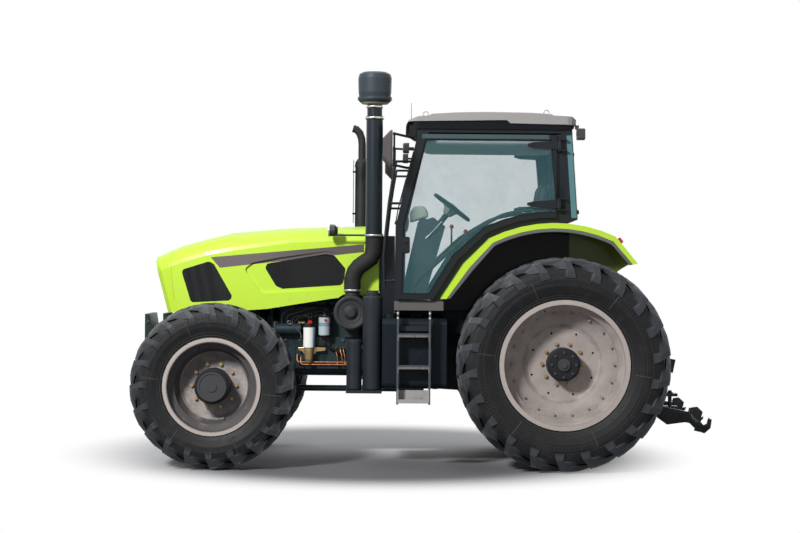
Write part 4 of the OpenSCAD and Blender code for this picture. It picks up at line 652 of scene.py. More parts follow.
def coat_cad_nodes(colours):
    """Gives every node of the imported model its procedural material."""
    casting = tuple(colours.casting)
    cab = tuple(colours.cab)
    paint = {
        "engine": cast_metal("engine_casting", darker(casting, 1.15), 0.42, 0.45),
        "gearbox": cast_metal("gearbox_casting", darker(casting, 0.75)),
        "rear_axle": cast_metal("axle_casting", darker(casting, 0.8)),
        "front_axle": cast_metal("front_axle_casting", darker(casting, 0.7)),
        "front_frame": painted_metal("frame_paint", (0.012, 0.026, 0.020), 0.4, 0.4),
        "steering_rod": bare_metal("rod_steel", (0.5, 0.5, 0.5)),
        "drawbar": painted_metal("drawbar_paint", (0.016, 0.020, 0.022), 0.42, 0.5),
        "lower_links": painted_metal("link_paint", (0.017, 0.021, 0.026), 0.38, 0.35),
        "lift_arms": painted_metal("arm_paint", (0.017, 0.021, 0.026), 0.4, 0.35),
        "lift_rods": painted_metal("lift_rod_paint", (0.015, 0.018, 0.022), 0.4, 0.3),
        "top_link": painted_metal("top_link_paint", (0.015, 0.018, 0.022), 0.4, 0.3),
        "intake_stack": stack_paint(),
        "exhaust": cast_metal("exhaust_steel", (0.022, 0.023, 0.024), 0.48, 0.5),
        "intake_elbow": moulded("elbow_rubber", (0.022, 0.022, 0.023), 0.62, 500),
        "fuel_tanks": moulded("tank_plastic", tuple(colours.tank), 0.40, 700),
        "ladders": step_paint(cab),
        "cab_floor": frame_paint("floor_paint", cab, 0.764),
        "cab_frame": frame_paint("cab_paint", cab, 0.775),
        "steering_wheel": moulded("wheel_grip", (0.020, 0.022, 0.024), 0.5, 1100),
        "roof": roof_shell(colours),
        "hood": hood_paint(colours),
        "fenders": fender_paint(colours),
        "grilles": perforated("grille_sheet", (0.015, 0.0155, 0.0165)),
        "canisters": filters(colours),
        "air_cleaner": cleaner_plastic(),
        "radiator": radiator_core(),
        "headlamps": headlamp_glass(),
        "lamps": lamp_plastic(),
        "mirrors": mirror_plastic(),
        "console": dash_plastic(),
        "windshield": pane(colours, "windshield_pane"),
        "rear_window": pane(colours, "rear_pane"),
        "seat": moulded("seat_base", (0.03, 0.032, 0.034), 0.8),
    }
    for side in SIDES:
        paint[f"{side}_knuckle"] = cast_metal(f"{side}_knuckle_casting", darker(casting, 0.7))
        paint[f"{side}_door"] = door_paint(f"{side}_door_paint", cab)
        paint[f"{side}_door_glass"] = pane(colours, f"{side}_door_pane")
        for end in WHEELS:
            paint[f"{end}_{side}_tyre"] = tyre_rubber(colours, end, side)
            paint[f"{end}_{side}_rim"] = rim_paint(colours, end, side)
    for name, node in frame["nodes"].items():
        if not node.material_slots:
            node.data.materials.append(paint[name])
        for place in node.material_slots:
            place.material = paint[name]


# Modelling helpers


NORMALS_OUT = (bpy.ops.mesh.normals_make_consistent, {"inside": False})
# How a point of a flat outline and its depth give a point in the frame
PLANES = {"xz": lambda a, b, depth: spot(a, depth, b), "yz": lambda a, b, depth: spot(depth, a, b)}
ALONG, OUT, UP, BACK = (1, 0, 0), (0, 1, 0), (0, 0, 1), (-1, 0, 0)


def clear():
    """Leaves edit mode and selects nothing."""
    if bpy.context.object and bpy.context.object.mode != "OBJECT":
        bpy.ops.object.mode_set(mode="OBJECT")
    bpy.ops.object.select_all(action="DESELECT")


def only(obj):
    clear()
    obj.select_set(True)
    bpy.context.view_layer.objects.active = obj


def edit(obj, *steps):
    """Runs edit mode steps on the whole mesh of one object; each is an operator and its settings."""
    only(obj)
    bpy.ops.object.mode_set(mode="EDIT")
    for operator, settings in steps:
        bpy.ops.mesh.select_all(action="SELECT")
        operator(**settings)
    bpy.ops.object.mode_set(mode="OBJECT")


def stretched(move):
    """The edit step that extrudes the whole mesh along a vector."""
    return bpy.ops.mesh.extrude_region_move, {"TRANSFORM_OT_translate": {"value": move}}


def outward(obj):
    """Merges doubles and points the faces outwards."""
    edit(obj, (bpy.ops.mesh.remove_doubles, {"threshold": 1e-5}),
         (bpy.ops.mesh.dissolve_degenerate, {"threshold": 1e-6}), (bpy.ops.mesh.delete_loose, {}),
         NORMALS_OUT)


def baked():
    """Applies the active object's place, turn and size to its mesh, and gives the object."""
    bpy.ops.object.transform_apply(location=True, rotation=True, scale=True)
    return bpy.context.object


def modified(obj, kind, **settings):
    """Adds one modifier with its settings and applies it."""
    modifier = obj.modifiers.new(kind.title(), kind)
    for name, value in settings.items():
        setattr(modifier, name, value)
    only(obj)
    bpy.ops.object.modifier_apply(modifier=modifier.name)


def bevel(obj, edge, steps=2, limit=30):
    """Rounds the edges that are sharper than a limit in degrees."""
    modified(obj, "BEVEL", width=edge / MM, segments=steps, limit_method="ANGLE",
        angle_limit=math.radians(limit))


def loop(name, places, fill="NOTHING"):
    """A closed loop of vertices at places in metres."""
    clear()
    bpy.ops.mesh.primitive_circle_add(vertices=len(places), fill_type=fill)
    obj = bpy.context.object
    obj.name = name
    for vertex, place in zip(obj.data.vertices, places):
        vertex.co = place
    return obj


def outline_piece(name, points, plane, span, edge=0.0, steps=2):
    """A flat outline, in millimetres, extruded across its plane and bevelled."""
    at = PLANES[plane]
    obj = loop(name, [at(a, b, span[0]) for a, b in points], "NGON")
    edit(obj, stretched(at(0, 0, span[1]) - at(0, 0, span[0])), NORMALS_OUT)
    if edge:
        bevel(obj, edge, steps)
    return obj


def block(name, x, y, z, edge=3.0, steps=2):
    """A box between two corners, in millimetres, with rounded edges."""
    clear()
    low, high = spot(x[0], y[0], z[0]), spot(x[1], y[1], z[1])
    bpy.ops.mesh.primitive_cube_add(size=1, location=(low + high) / 2, scale=high - low)
    obj = baked()
    obj.name = name
    bevel(obj, edge, steps)
    return obj


def hoop(centre, radius, thick, segments=20, sides=8):
    """A round ring that stands in the X and Z plane, in millimetres."""
    clear()
    bpy.ops.mesh.primitive_torus_add(
        major_radius=radius / MM, minor_radius=thick / MM, major_segments=segments,
        minor_segments=sides,
        location=spot(*centre), rotation=(math.pi / 2, 0, 0))
    return baked()


def spun(name, profile, steps=36):
    """A closed profile of radius and height, in millimetres, spun about Z at the origin."""
    obj = loop(name, [(r / MM, 0, height / MM) for r, height in profile])
    edit(obj, (bpy.ops.mesh.spin, {"steps": steps, "angle": math.tau, "center": (0, 0, 0), "axis": UP}))
    outward(obj)
    return obj


def facing(centre, axis):
    """The move that puts a piece, built about Z at the origin, at a place in millimetres, along an axis."""
    turn = Vector(UP).rotation_difference(Vector(axis)).to_matrix().to_4x4()
    return Matrix.Translation(spot(*centre)) @ turn


def turned(name, profile, centre, axis=OUT, steps=36):
    """A closed profile spun about an axis through a place in millimetres."""
    obj = spun(name, profile, steps)
    obj.data.transform(facing(centre, axis))
    return obj


def bolts(name, places, radius):
    """Hexagon bolts with their washers; each place is a point in millimetres and the way the head faces."""
    clear()
    bpy.ops.mesh.primitive_cylinder_add(vertices=6, radius=radius / MM, depth=radius * 0.0007,
                                        location=(0, 0, radius * 0.00055))
    head = baked()
    bevel(head, radius * 0.12, 1)
    wide, brim = radius * 1.25, radius * 1.1
    washer = spun("washer", [(0, -1), (wide, -1), (wide, radius * 0.16), (brim, radius * 0.22),
                             (0, radius * 0.22)], 14)
    return copies(joined([head, washer], name), [facing(place, axis) for place, axis in places])


def polar(centre, radius, degrees):
    """A point of a circle in a plane."""
    a = math.radians(degrees)
    return centre[0] + radius * math.cos(a), centre[1] + radius * math.sin(a)


def swollen(obj, pressure, most):
    """Turns a block into a pad: an even mesh, blown up as cloth, with its movement capped."""
    modified(obj, "REMESH", mode="VOXEL", voxel_size=0.006)
    start = [vertex.co.copy() for vertex in obj.data.vertices]
    cloth = obj.modifiers.new("Swell", "CLOTH")
    cloth.settings.use_pressure = True
    cloth.settings.uniform_pressure_force = pressure
    cloth.settings.effector_weights.gravity = 0
    cloth.settings.quality = 4
    for step in range(1, 21):
        bpy.context.scene.frame_set(step)
    seen = obj.evaluated_get(bpy.context.evaluated_depsgraph_get())
    moved = [vertex.co.copy() for vertex in seen.data.vertices]
    obj.modifiers.remove(cloth)
    bpy.context.scene.frame_set(1)
    for vertex, a, b in zip(obj.data.vertices, start, moved):
        move = b - a
        if move.length > most:
            move = move.normalized() * most
        vertex.co = a + move
    modified(obj, "SMOOTH", factor=0.5, iterations=6)
    return obj


def rounded(points, radius, steps=4):
    """A path with its corners rounded, as points in millimetres."""
    path = [Vector(points[0])]
    for before, corner, after in zip(points, points[1:], points[2:]):
        a, b, c = Vector(before), Vector(corner), Vector(after)
        cut = min(radius, (a - b).length * 0.45, (c - b).length * 0.45)
        start = b + (a - b).normalized() * cut
        end = b + (c - b).normalized() * cut
        for k in range(steps + 1):
            t = k / steps
            path.append(start * (1 - t) ** 2 + b * 2 * t * (1 - t) + end * t ** 2)
    path.append(Vector(points[-1]))
    return path


def tube(name, points, radius, bend=30.0, sides=3):
    """A round bar or hose along a path in millimetres, with closed ends."""
    clear()
    bpy.ops.curve.primitive_nurbs_path_add(location=(0, 0, 0))
    obj = bpy.context.object
    obj.name = name
    path = rounded(points, bend) if bend else [Vector(p) for p in points]
    curve = obj.data
    curve.splines.clear()
    line = curve.splines.new("POLY")
    line.points.add(len(path) - 1)
    for point, place in zip(line.points, path):
        point.co = (*spot(*place), 1)
    curve.bevel_depth = radius / MM
    curve.bevel_resolution = sides
    curve.use_fill_caps = True
    bpy.ops.object.convert(target="MESH")
    obj = bpy.context.object
    outward(obj)
    return obj


def lofted(name, rings):
    """A closed skin over rings of points, in millimetres; every ring has the same number of them."""
    obj = joined([loop("ring", [spot(*point) for point in ring]) for ring in rings], name)
    edit(obj, (bpy.ops.mesh.bridge_edge_loops, {}), (bpy.ops.mesh.fill_holes, {"sides": len(rings[0])}),
         NORMALS_OUT)
    return obj


def copied(obj, matrix):
    """A copy with its own mesh, moved by a matrix."""
    copy = obj.copy()
    copy.data = obj.data.copy()
    bpy.context.collection.objects.link(copy)
    copy.data.transform(matrix)
    return copy


def mirrored(obj, name):
    """A copy on the other side, with its own mesh."""
    copy = copied(obj, Matrix.Scale(-1, 4, OUT))
    copy.name = name
    copy.data.flip_normals()
    return copy


def copies(obj, matrices):
    """Places copies of a piece, each with its own mesh, and joins them with it."""
    others = [copied(obj, matrix) for matrix in matrices[1:]]
    obj.data.transform(matrices[0])
    return joined([obj, *others])


def joined(parts, name=None):
    clear()
    for part in parts:
        part.select_set(True)
    bpy.context.view_layer.objects.active = parts[0]
    if len(parts) > 1:
        bpy.ops.object.join()
    if name:
        parts[0].name = name
    return parts[0]


def fit(obj, body, material, smooth=32):
    """Gives a finished piece its material, smooth faces and body."""
    only(obj)
    bpy.ops.object.transform_apply(location=True, rotation=True, scale=True)
    bpy.ops.object.shade_smooth_by_angle(angle=math.radians(smooth))
    obj.data.materials.clear()
    obj.data.materials.append(material)
    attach(obj, body)
    return obj


def group(name, parts, material, slot, body="chassis", smooth=32):
    """Joins parts into one piece and fits it."""
    return fit(joined(parts, name), body, material, smooth)


CHASSIS = ("chassis", "chassis")
DOORS = ("left_door", "right_door")
LINKS = ("lower_links", "lower_links")


def on_both_sides(obj, bodies, material, smooth=32):
    """Fits a left piece and its mirrored copy; bodies are the left and the right body."""
    other = mirrored(obj, obj.name.replace("left", "right") if "left" in obj.name else obj.name + "_right")
    fit(obj, bodies[0], material, smooth)
    fit(other, bodies[1], material, smooth)


# The fender's arc, in millimetres: its centre, radius, first and last angle, and the depth of its lip
ARC = (80, 830)
ARC_R = 1115
ARC_ENDS = (63, 114.7)
ARC_STEPS = 24
LIP = 41
# The gap between the fender and the door that follows it
DOOR_GAP = 46


def fender_line(radius, foot):
    """Points of a fender's outline in millimetres, from its front foot to its tail, as X and Z."""
    first, last = ARC_ENDS
    arc = [polar(ARC, radius, first + (last - first) * k / ARC_STEPS) for k in range(ARC_STEPS + 1)]
    return [(965 + foot, 1348), (789.1 + foot, 1621 + foot * 0.7), *arc,
        (-558 - foot * 0.9, 1635 + foot * 0.2)]


def door_line(inset):
    """Points of a door's outline in millimetres, drawn in by an inset, as X and Z."""
    arc = [polar(ARC, ARC_R + DOOR_GAP + inset, ARC_ENDS[0] + 7 * k) for k in range(5)]
    return [(1131 - inset, 2640 - inset), (1303 - inset, 1915), (1309 - inset, 1338 + inset),
            (1027 + inset * 0.7, 1338 + inset), (1011 + inset * 0.7, 1360 + inset),
            (789.1 + DOOR_GAP + inset * 0.8, 1621 + DOOR_GAP * 0.6 + inset * 0.8), *arc,
            (60 + inset, 2640 - inset)]


def cut_box(low, high, cut):
    """A rectangle between two corners in a plane, with its own corners cut off."""
    (a, b), (c, d) = low, high
    return [(a + cut, b), (c - cut, b), (c, b + cut), (c, d - cut), (c - cut, d), (a + cut, d),
        (a, d - cut),
            (a, b + cut)]


# How far the windshield leans back, and the rear window forward, for each millimetre of height
SHIELD_SLOPE = 0.2321
REAR_SLOPE = 0.0753


def on_shield(*points):
    """Points given as distance from the windshield, Y and Z."""
    return [(1321 - (z - 1915) * SHIELD_SLOPE + off, y, z) for off, y, z in points]


def on_rear_window(*points):
    """Points given as distance from the rear window, Y and Z."""
    return [(-124 + (z - 1985) * REAR_SLOPE + off, y, z) for off, y, z in points]


# Operators


class TRACTOR_OT_stage(bpy.types.Operator):
    """Sets up the camera, the floor and the soft studio light"""

    bl_idname = "tractor.stage"
    bl_label = "Stage"

    def execute(self, context):
        stage = context.scene.tractor_stage
        clear()
        bpy.ops.object.camera_add(location=(along(1286), stage.distance, stage.height))
        camera = context.object
        camera.name = "studio_camera"
        # It looks along -Y, and leans by the half degree that the photograph leans
        turns = ((math.pi, "Z"), (math.pi / 2, "X"), (math.radians(0.5), "Z"))
        look = Matrix.Translation(camera.location)
        for angle, axis in turns:
            look = look @ Matrix.Rotation(angle, 4, axis)
        camera.matrix_world = look
        camera.data.lens = stage.lens
        for name, value in (("sensor_width", 36), ("shift_y", -0.0131), ("clip_end", 200)):
            setattr(camera.data, name, value)
        context.scene.camera = camera
        context.scene.view_settings.view_transform = "Standard"
        self.floor()
        self.lamps(stage.light)
        self.sky(stage.light)
        return {"FINISHED"}

    def floor(self):
        clear()
        bpy.ops.mesh.primitive_grid_add(x_subdivisions=40, y_subdivisions=40, size=120, location=(0, 0, 0))
        floor = bpy.context.object
        floor.name = "studio_floor"
        p = Paint("studio_floor_paint", Roughness=0.75, Specular_IOR_Level=0.1)
        # A white floor, with a painted shadow under the tractor: an oval of grey, darkest in a core on the
        # camera's side, that fades out to white; the floor takes the real shadow as well
        x = p.x - 0.42
        y = p.y + 0.40
        near = p.y - 0.80
        glow = p.smooth(p.maths("SQRT", x * x / 7.6 + y * y / 7.2), 0.64, 1.0)
        # The core of the painted shadow, where the grey ground darkens most
        painted_shadow_core = p.smooth(p.maths("SQRT", x * x / 5.6 + near * near / 2.6), 1.0, 0.3)
        seen = p.most(p.node("ShaderNodeLightPath", output="Is Camera Ray"),
                      p.node("ShaderNodeLightPath", output="Is Transmission Ray"))
        light = p.tree.nodes.new("ShaderNodeEmission")
        p.put(light.inputs["Color"], p.mix(seen, (0.30, 0.30, 0.31), (1, 1, 1)))
        blend = p.tree.nodes.new("ShaderNodeMixShader")
        out = next(n for n in p.tree.nodes if n.type == "OUTPUT_MATERIAL")
        p.done(Base_Color=p.mix(painted_shadow_core, (0.56, 0.56, 0.57), (0.13, 0.13, 0.14)))
        p.put(blend.inputs[0], glow)
        p.tree.links.new(p.shader.outputs[0], blend.inputs[1])
        p.tree.links.new(light.outputs[0], blend.inputs[2])
        p.tree.links.new(blend.outputs[0], out.inputs["Surface"])
        floor.data.materials.append(p.material)

    def lamps(self, level):
        for name, place, size, power in (
                ("key_light", (5.8, 9.0, 7.6), 1.5, 1620), ("fill_light", (-7.5, 7.0, 5.0), 6.0, 70),
                ("top_light", (0.0, -1.0, 10.0), 8.0, 200), ("back_light", (-3.0, -11.0, 6.0), 7.0, 420)):
            clear()
            bpy.ops.object.light_add(type="AREA", location=place)
            lamp = bpy.context.object
            lamp.name = name
            lamp.data.size = size
            lamp.data.energy = power * level
            aim = Vector((0, 0, 1.2)) - Vector(place)
            lamp.rotation_euler = aim.to_track_quat("-Z", "Y").to_euler()

    def sky(self, level):
        """Soft light from all round, which the camera, the glass and the coats see as white."""
        world = bpy.data.worlds.new("studio_world")
        bpy.context.scene.world = world
        world.use_nodes = True
        tree = world.node_tree
        tree.nodes.clear()
        out, blend, soft, white, rays, total, seen = (tree.nodes.new("ShaderNode" + kind) for kind in (
            "OutputWorld", "MixShader", "Background", "Background", "LightPath", "Math", "Math"))
        soft.inputs["Color"].default_value = (0.93, 0.96, 1.0, 1)
        soft.inputs["Strength"].default_value = 0.22 * level
        white.inputs["Color"].default_value = (1, 1, 1, 1)
        total.operation = seen.operation = "MAXIMUM"
        for start, end in (
                (rays.outputs["Is Camera Ray"], total.inputs[0]),
                (rays.outputs["Is Transmission Ray"], total.inputs[1]),
                (total.outputs[0], seen.inputs[0]), (rays.outputs["Is Glossy Ray"], seen.inputs[1]),
                (seen.outputs[0], blend.inputs[0]), (soft.outputs[0], blend.inputs[1]),
                (white.outputs[0], blend.inputs[2]), (blend.outputs[0], out.inputs["Surface"])):
            tree.links.new(start, end)


class Step:
    """What the operators share: a step gets the settings, builds its pieces and is done."""

    def execute(self, context):
        self.build(context.scene.tractor_sizes, context.scene.tractor_colours)
        return {"FINISHED"}


class TRACTOR_OT_finishes(Step, bpy.types.Operator):
    """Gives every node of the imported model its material"""

    bl_idname = "tractor.finishes"
    bl_label = "Finishes of the packed model"

    def build(self, sizes, colours):
        coat_cad_nodes(colours)


class TRACTOR_OT_intake_clamps(Step, bpy.types.Operator):
    """Adds the band clamps on the intake stack and its rubber elbow"""

    bl_idname = "tractor.intake_clamps"
    bl_label = "Intake clamps"

    def build(self, sizes, colours):
        half = sizes.clamp_width * MM / 2
        y = 520
        parts = []
        for x, z, r in ((1498, 1842, 73.4), (1498, 2783, 73.4), (1498, 2872, 68.4), (1667, 1400, 67.3)):
            band = [(r, -half), (r + 1.6, -half), (r + 2.4, -half * 0.6), (r + 2.4, half * 0.6),
                (r + 1.6, half),
                    (r, half)]
            head = [(0, 0), (5.5, 0), (5.5, 4), (4, 6), (0, 6)]
            parts += [turned("clamp", band, (x, y, z), UP, 48),
                      block("screw", (x - 9, x + 17), (y + r - 2, y + r + 12), (z - half, z + half), 2.0),
                      turned("head", head, (x + 17, y + r + 5, z), ALONG, 12)]
        group("intake_clamps", parts, bare_metal("clamp_steel", (0.72, 0.70, 0.66), 0.22), "intake_stack")


class TRACTOR_OT_fender_trim(Step, bpy.types.Operator):
    """Adds the rubber trim under the lip of each fender"""

    bl_idname = "tractor.fender_trim"
    bl_label = "Fender trim"

    def build(self, sizes, colours):
        width = sizes.trim_width * MM
        outer = fender_line(ARC_R - LIP, -LIP)
        inner = fender_line(ARC_R - LIP - width, -LIP - width)
        trim = outline_piece("left_fender_trim", outer + inner[::-1], "xz", (975, 997), 5.0, 3)
        on_both_sides(trim, CHASSIS, moulded("trim_rubber", (0.135, 0.135, 0.140), 0.6, 500))


class TRACTOR_OT_grab_bars(Step, bpy.types.Operator):
    """Adds the grab bar inside each door"""

    bl_idname = "tractor.grab_bars"
    bl_label = "Grab bars"

    def build(self, sizes, colours):
        path = [(1176, 776, 1356), (1176, 750, 1380), (1150, 750, 1478), (764, 750, 1843), (490, 750, 2008),
                (300, 750, 2050), (92, 750, 2056), (82, 776, 2058)]
        bar = tube("left_grab_bar", path, sizes.bar_radius * MM, 60)
        on_both_sides(bar, DOORS, moulded("grab_bar_grip", (0.018, 0.020, 0.022), 0.45, 900))


class TRACTOR_OT_lamp_lenses(Step, bpy.types.Operator):
    """Adds the glass and rims of the road lamps and the work lamps"""

    bl_idname = "tractor.lamp_lenses"
    bl_label = "Lamp lenses"

    def build(self, sizes, colours):
        rim = [(46, 0), (51.5, 0), (52, 4), (51, 10), (47, 12), (44, 11), (44, 8), (47, 6)]
        chrome = bare_metal("lamp_chrome", (0.86, 0.87, 0.88), 0.12)
        on_both_sides(turned("road_ring", rim, (1852, 520, 1879), ALONG, 48), CHASSIS, chrome)
        crown = [(0, 3), (0, 17), (18, 15.5), (32, 12.5), (44, 8), (44, 3)]
        lens = turned("road_lens", crown, (1853, 520, 1879), ALONG, 48)
        on_both_sides(lens, CHASSIS, self.glass("road_lamp_glass", 0.0075))
        face = 1131 + 20 + (2656 - 2520) * SHIELD_SLOPE + 84.5
        front = outline_piece("work_glass", cut_box((696, 2497), (784, 2563), 6), "yz", (face, face + 5),
            2.0)
        rear = outline_piece("work_glass_rear", cut_box((716, 2612), (796, 2690), 4), "yz", (-166, -160.5),
            2.0)
        glass = joined([front, rear], "left_work_lenses")
        on_both_sides(glass, CHASSIS, self.glass("work_lamp_glass", 0.011))

    def glass(self, name, pitch):
        p = Paint(name, IOR=1.5, Coat_Weight=1.0, Coat_Roughness=0.03)
        flutes = p.wave(p.y, pitch) * p.wave(p.z, pitch)
        return p.done(
            Base_Color=p.mix(flutes, (0.50, 0.53, 0.56), (0.84, 0.87, 0.90)), Metallic=0.25 + flutes * 0.3,
            Roughness=0.08 + flutes * 0.12, Normal=p.bump(flutes, 0.0012, 0.5))


class TRACTOR_OT_mirror_glass(Step, bpy.types.Operator):
    """Adds the mirror glass behind each mirror shell"""

    bl_idname = "tractor.mirror_glass"
    bl_label = "Mirror glass"

    def build(self, sizes, colours):
        corners = []
        for centre, start in (((1062, 2612), 0), ((968, 2612), 90), ((968, 2394), 180),
                ((1062, 2394), 270)):
            corners += [polar(centre, 30, start + 15 * k) for k in range(7)]
        glass = outline_piece("left_mirror_glass", corners, "yz", (1348.6, 1351.7), 1.2)
        p = Paint("mirror_silver", Coat_Weight=0.5, Coat_Roughness=0.02)
        smear = p.noise(12, 4, 0.6)
        silver = p.done(Base_Color=p.mix(smear * 0.3, (0.80, 0.83, 0.85), (0.66, 0.70, 0.73)), Metallic=1.0,
                        Roughness=0.03 + smear * 0.05)
        on_both_sides(glass, CHASSIS, silver)


class TRACTOR_OT_roof_fittings(Step, bpy.types.Operator):
    """Adds the lifting eyes and the antenna on the roof"""

    bl_idname = "tractor.roof_fittings"
    bl_label = "Roof fittings"

    def build(self, sizes, colours):
        zinc = bare_metal("eye_zinc", (0.62, 0.62, 0.60), 0.32)
        foot = [(0, -12), (17, -12), (17, 2), (11, 6), (8, 14), (0, 14)]
        for name, x, z in (("front_lifting_eyes", 1090, 2780), ("rear_lifting_eyes", 130, 2800)):
            parts = []
            for y in (620, -620):
                parts += [hoop((x, y, z + 32), 20, 5.5, 28, 10), turned("foot", foot, (x, y, z), UP, 20)]
            group(name, parts, zinc, "roof")
        mast = [(0, -20), (11, -20), (11, 0), (4.5, 14), (2.2, 30), (1.6, 150), (0, 151)]
        rubber = moulded("antenna_rubber", (0.02, 0.02, 0.022), 0.6)
        fit(turned("antenna", mast, (1205, 660, 2745), UP, 14), "chassis", rubber)


class TRACTOR_OT_seat(Step, bpy.types.Operator):
    """Builds the padded seat with its armrests and base"""

    bl_idname = "tractor.seat"
    bl_label = "Seat"

    def build(self, sizes, colours):
        cloth = self.cloth()
        for name, points, half in (
                ("seat_cushion", [(168, 1668), (575, 1668), (588, 1700), (578, 1742), (540, 1756),
                (250, 1740),
                                  (168, 1748)], 222),
                ("seat_back", [(168, 1752), (236, 1752), (210, 1880), (168, 2060), (140, 2230), (122, 2284),
                               (72, 2290), (62, 2240), (96, 2040)], 206)):
            pad = outline_piece(name, points, "xz", (-half, half), 16, 3)
            fit(swollen(pad, 3.0, 0.016), "chassis", cloth, 60)
        shell = outline_piece("seat_shell", [
            (150, 1640), (590, 1640), (596, 1652), (590, 1664), (160, 1664), (150, 1760), (52, 2268),
            (40, 2266),
            (136, 1760)], "xz", (-200, 200), 5)
        black = moulded("seat_shell_plastic", (0.016, 0.017, 0.019), 0.5)
        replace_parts(fit(shell, "chassis", black), "seat")
        rest = outline_piece("left_armrest", [
            (150, 1930), (430, 1950), (452, 1962), (448, 1985), (420, 1994), (150, 1976), (134, 1955)],
            "xz", (232, 282), 14, 4)
        post = outline_piece("armrest_post", [(150, 1880), (196, 1880), (196, 1950), (150, 1945)], "xz",
            (206, 250), 5)
        vinyl = moulded("armrest_vinyl", (0.022, 0.024, 0.026), 0.55)
        on_both_sides(joined([rest, post], "left_armrest"), CHASSIS, vinyl)
        folds = [block("fold", (202, 486), (-206, 206), (1649.9 - 22 * k - 22, 1649.9 - 22 * k),
            8.0) for k in range(5)]
        group("seat_bellows", folds, black, "cab_floor")

    def cloth(self):
        p = Paint("seat_cloth", Sheen_Weight=0.25, Sheen_Roughness=0.4)
        weave = p.wave(p.y, 0.0026) * p.wave(p.z + p.x, 0.0026)
        channel = p.smooth(abs(abs(p.y) - 0.135), 0.007, 0.0)
        side = p.smooth(abs(p.y), 0.133, 0.137)
        middle = p.mix(p.noise(60, 3), (0.045, 0.050, 0.052), (0.085, 0.090, 0.092))
        vinyl = p.mix(p.noise(8, 3), (0.018, 0.020, 0.021), (0.032, 0.034, 0.036))
        tone = p.mix(channel * 0.7, p.mix(side, middle, vinyl), (0.006, 0.006, 0.007))
        return p.done(Base_Color=tone, Roughness=0.86 - side * 0.3,
                      Normal=p.bump(weave * (1 - side) - channel * 5, 0.0012, 0.7))


class TRACTOR_OT_dash(Step, bpy.types.Operator):
    """Adds the instruments, switches, key and column lever on the dash, the headliner and the mat"""

    bl_idname = "tractor.dash"
    bl_label = "Dash fittings"

    def build(self, sizes, colours):
        parts = [
            outline_piece("instrument_hood", [
                (1012, 1905), (1128, 1965), (1136, 1985), (1110, 1998), (1000, 1962), (996, 1925)],
                "xz", (-132, 132), 12, 3),
            tube("column_lever", [(930, 20, 1990), (905, 120, 2018), (880, 205, 2046)], 5, 30),
            turned("lever_end", [(0, -18), (8, -16), (10, 0), (9, 16), (0, 20)], (878, 212, 2048),
            (-0.2, 0.9, 0.25), 16),
            turned("key_switch", [(0, 0), (15, 0), (15, 8), (11, 12), (0, 12)], (985, 100, 1880),
            (-0.8, 0, 0.6), 20)]
        group("dash_fittings", parts, moulded("switch_plastic", (0.020, 0.021, 0.023), 0.42), "console")
        dials = []
        for y, r in ((-78, 30), (0, 40), (78, 30)):
            bezel = [(0, 0), (r, 0), (r + 4, 3), (r + 4, 7), (r, 8), (r - 2, 4), (0, 4)]
            dials.append(turned("dial", bezel, (999, y, 1944), (-0.92, 0, 0.38), 32))
        group("dials", dials, self.dial_face(), "console")
        pod = outline_piece("dash_pod", [
            (1096, 1992), (1204, 1956), (1210, 2040), (1172, 2088), (1100, 2094), (1066, 2066),
            (1052, 2000)],
            "xz", (-138, 138), 18, 4)
        fit(pod, "chassis", moulded("pod_plastic", (0.50, 0.56, 0.47), 0.5, 800))
        tilt = tube("tilt_lever", [(1066, 162, 1832), (1000, 166, 1902), (944, 168, 1966)], 4.5, 30)
        grip = turned("lever_grip", [(0, -22), (9, -20), (11, 0), (9, 22), (0, 24)], (1060, 162, 1838),
            (0.7, 0, -0.7), 16)
        group("tilt_lever", [tilt, grip], bare_metal("lever_steel", (0.42, 0.43, 0.42), 0.4), "console")
        collar = turned("wheel_collar", [
            (0, 22), (42, 22), (60, 12), (112, 2), (116, -4), (108, -8), (60, -26), (38, -74), (26, -80),
            (0, -80)],
            (857, 0, 2086), (-0.6, 0, 0.8), 40)
        fit(collar, "chassis", moulded("collar_plastic", (0.30, 0.32, 0.30), 0.45))
        liner = outline_piece("headliner", [
            (-30, 2652), (-24, 2600), (4, 2574), (70, 2562), (1030, 2564), (1074, 2572), (1098, 2600),
            (1092, 2652)],
            "xz", (-672, 672), 14, 4)
        fit(liner, "chassis", moulded("liner_cloth", (0.42, 0.46, 0.48), 0.8, 300))
        boot = [(0, -6), (36, -6), (36, 0), (28, 10), (31, 18), (22, 28), (24, 36), (14, 50), (9, 66),
            (0, 66)]
        boots = [turned("boot", boot, place, UP, 24) for place in ((850, -300, 1600), (730, -330, 1658))]
        group("lever_boots", boots, moulded("boot_rubber", (0.016, 0.016, 0.017), 0.7), "console")
        mat = block("floor_mat", (330, 1060), (-250, 540), (1330.3, 1336), 2.0)
        fit(mat, "chassis", self.mat())

    def dial_face(self):
        p = Paint("dial_face", Coat_Weight=0.8, Coat_Roughness=0.03)
        ticks = p.smooth(p.maths("SINE", p.maths("ARCTAN2", p.z - 1.944, p.y) * 24), 0.6, 0.8)
        return p.done(Base_Color=p.mix(ticks * 0.5, (0.02, 0.022, 0.024), (0.5, 0.52, 0.52)),
                      Roughness=0.3 + ticks * 0.1)

    def mat(self):
        p = Paint("mat_rubber")
        ribs = p.wave(p.y, 0.02)
        dust = p.spots(14, 5, 0.5, 0.45, 0.75)
        return p.done(Base_Color=p.mix(dust * 0.5, (0.02, 0.021, 0.022), (0.11, 0.10, 0.085)),
                      Roughness=0.7 + dust * 0.2, Normal=p.bump(ribs, 0.003, 0.7))


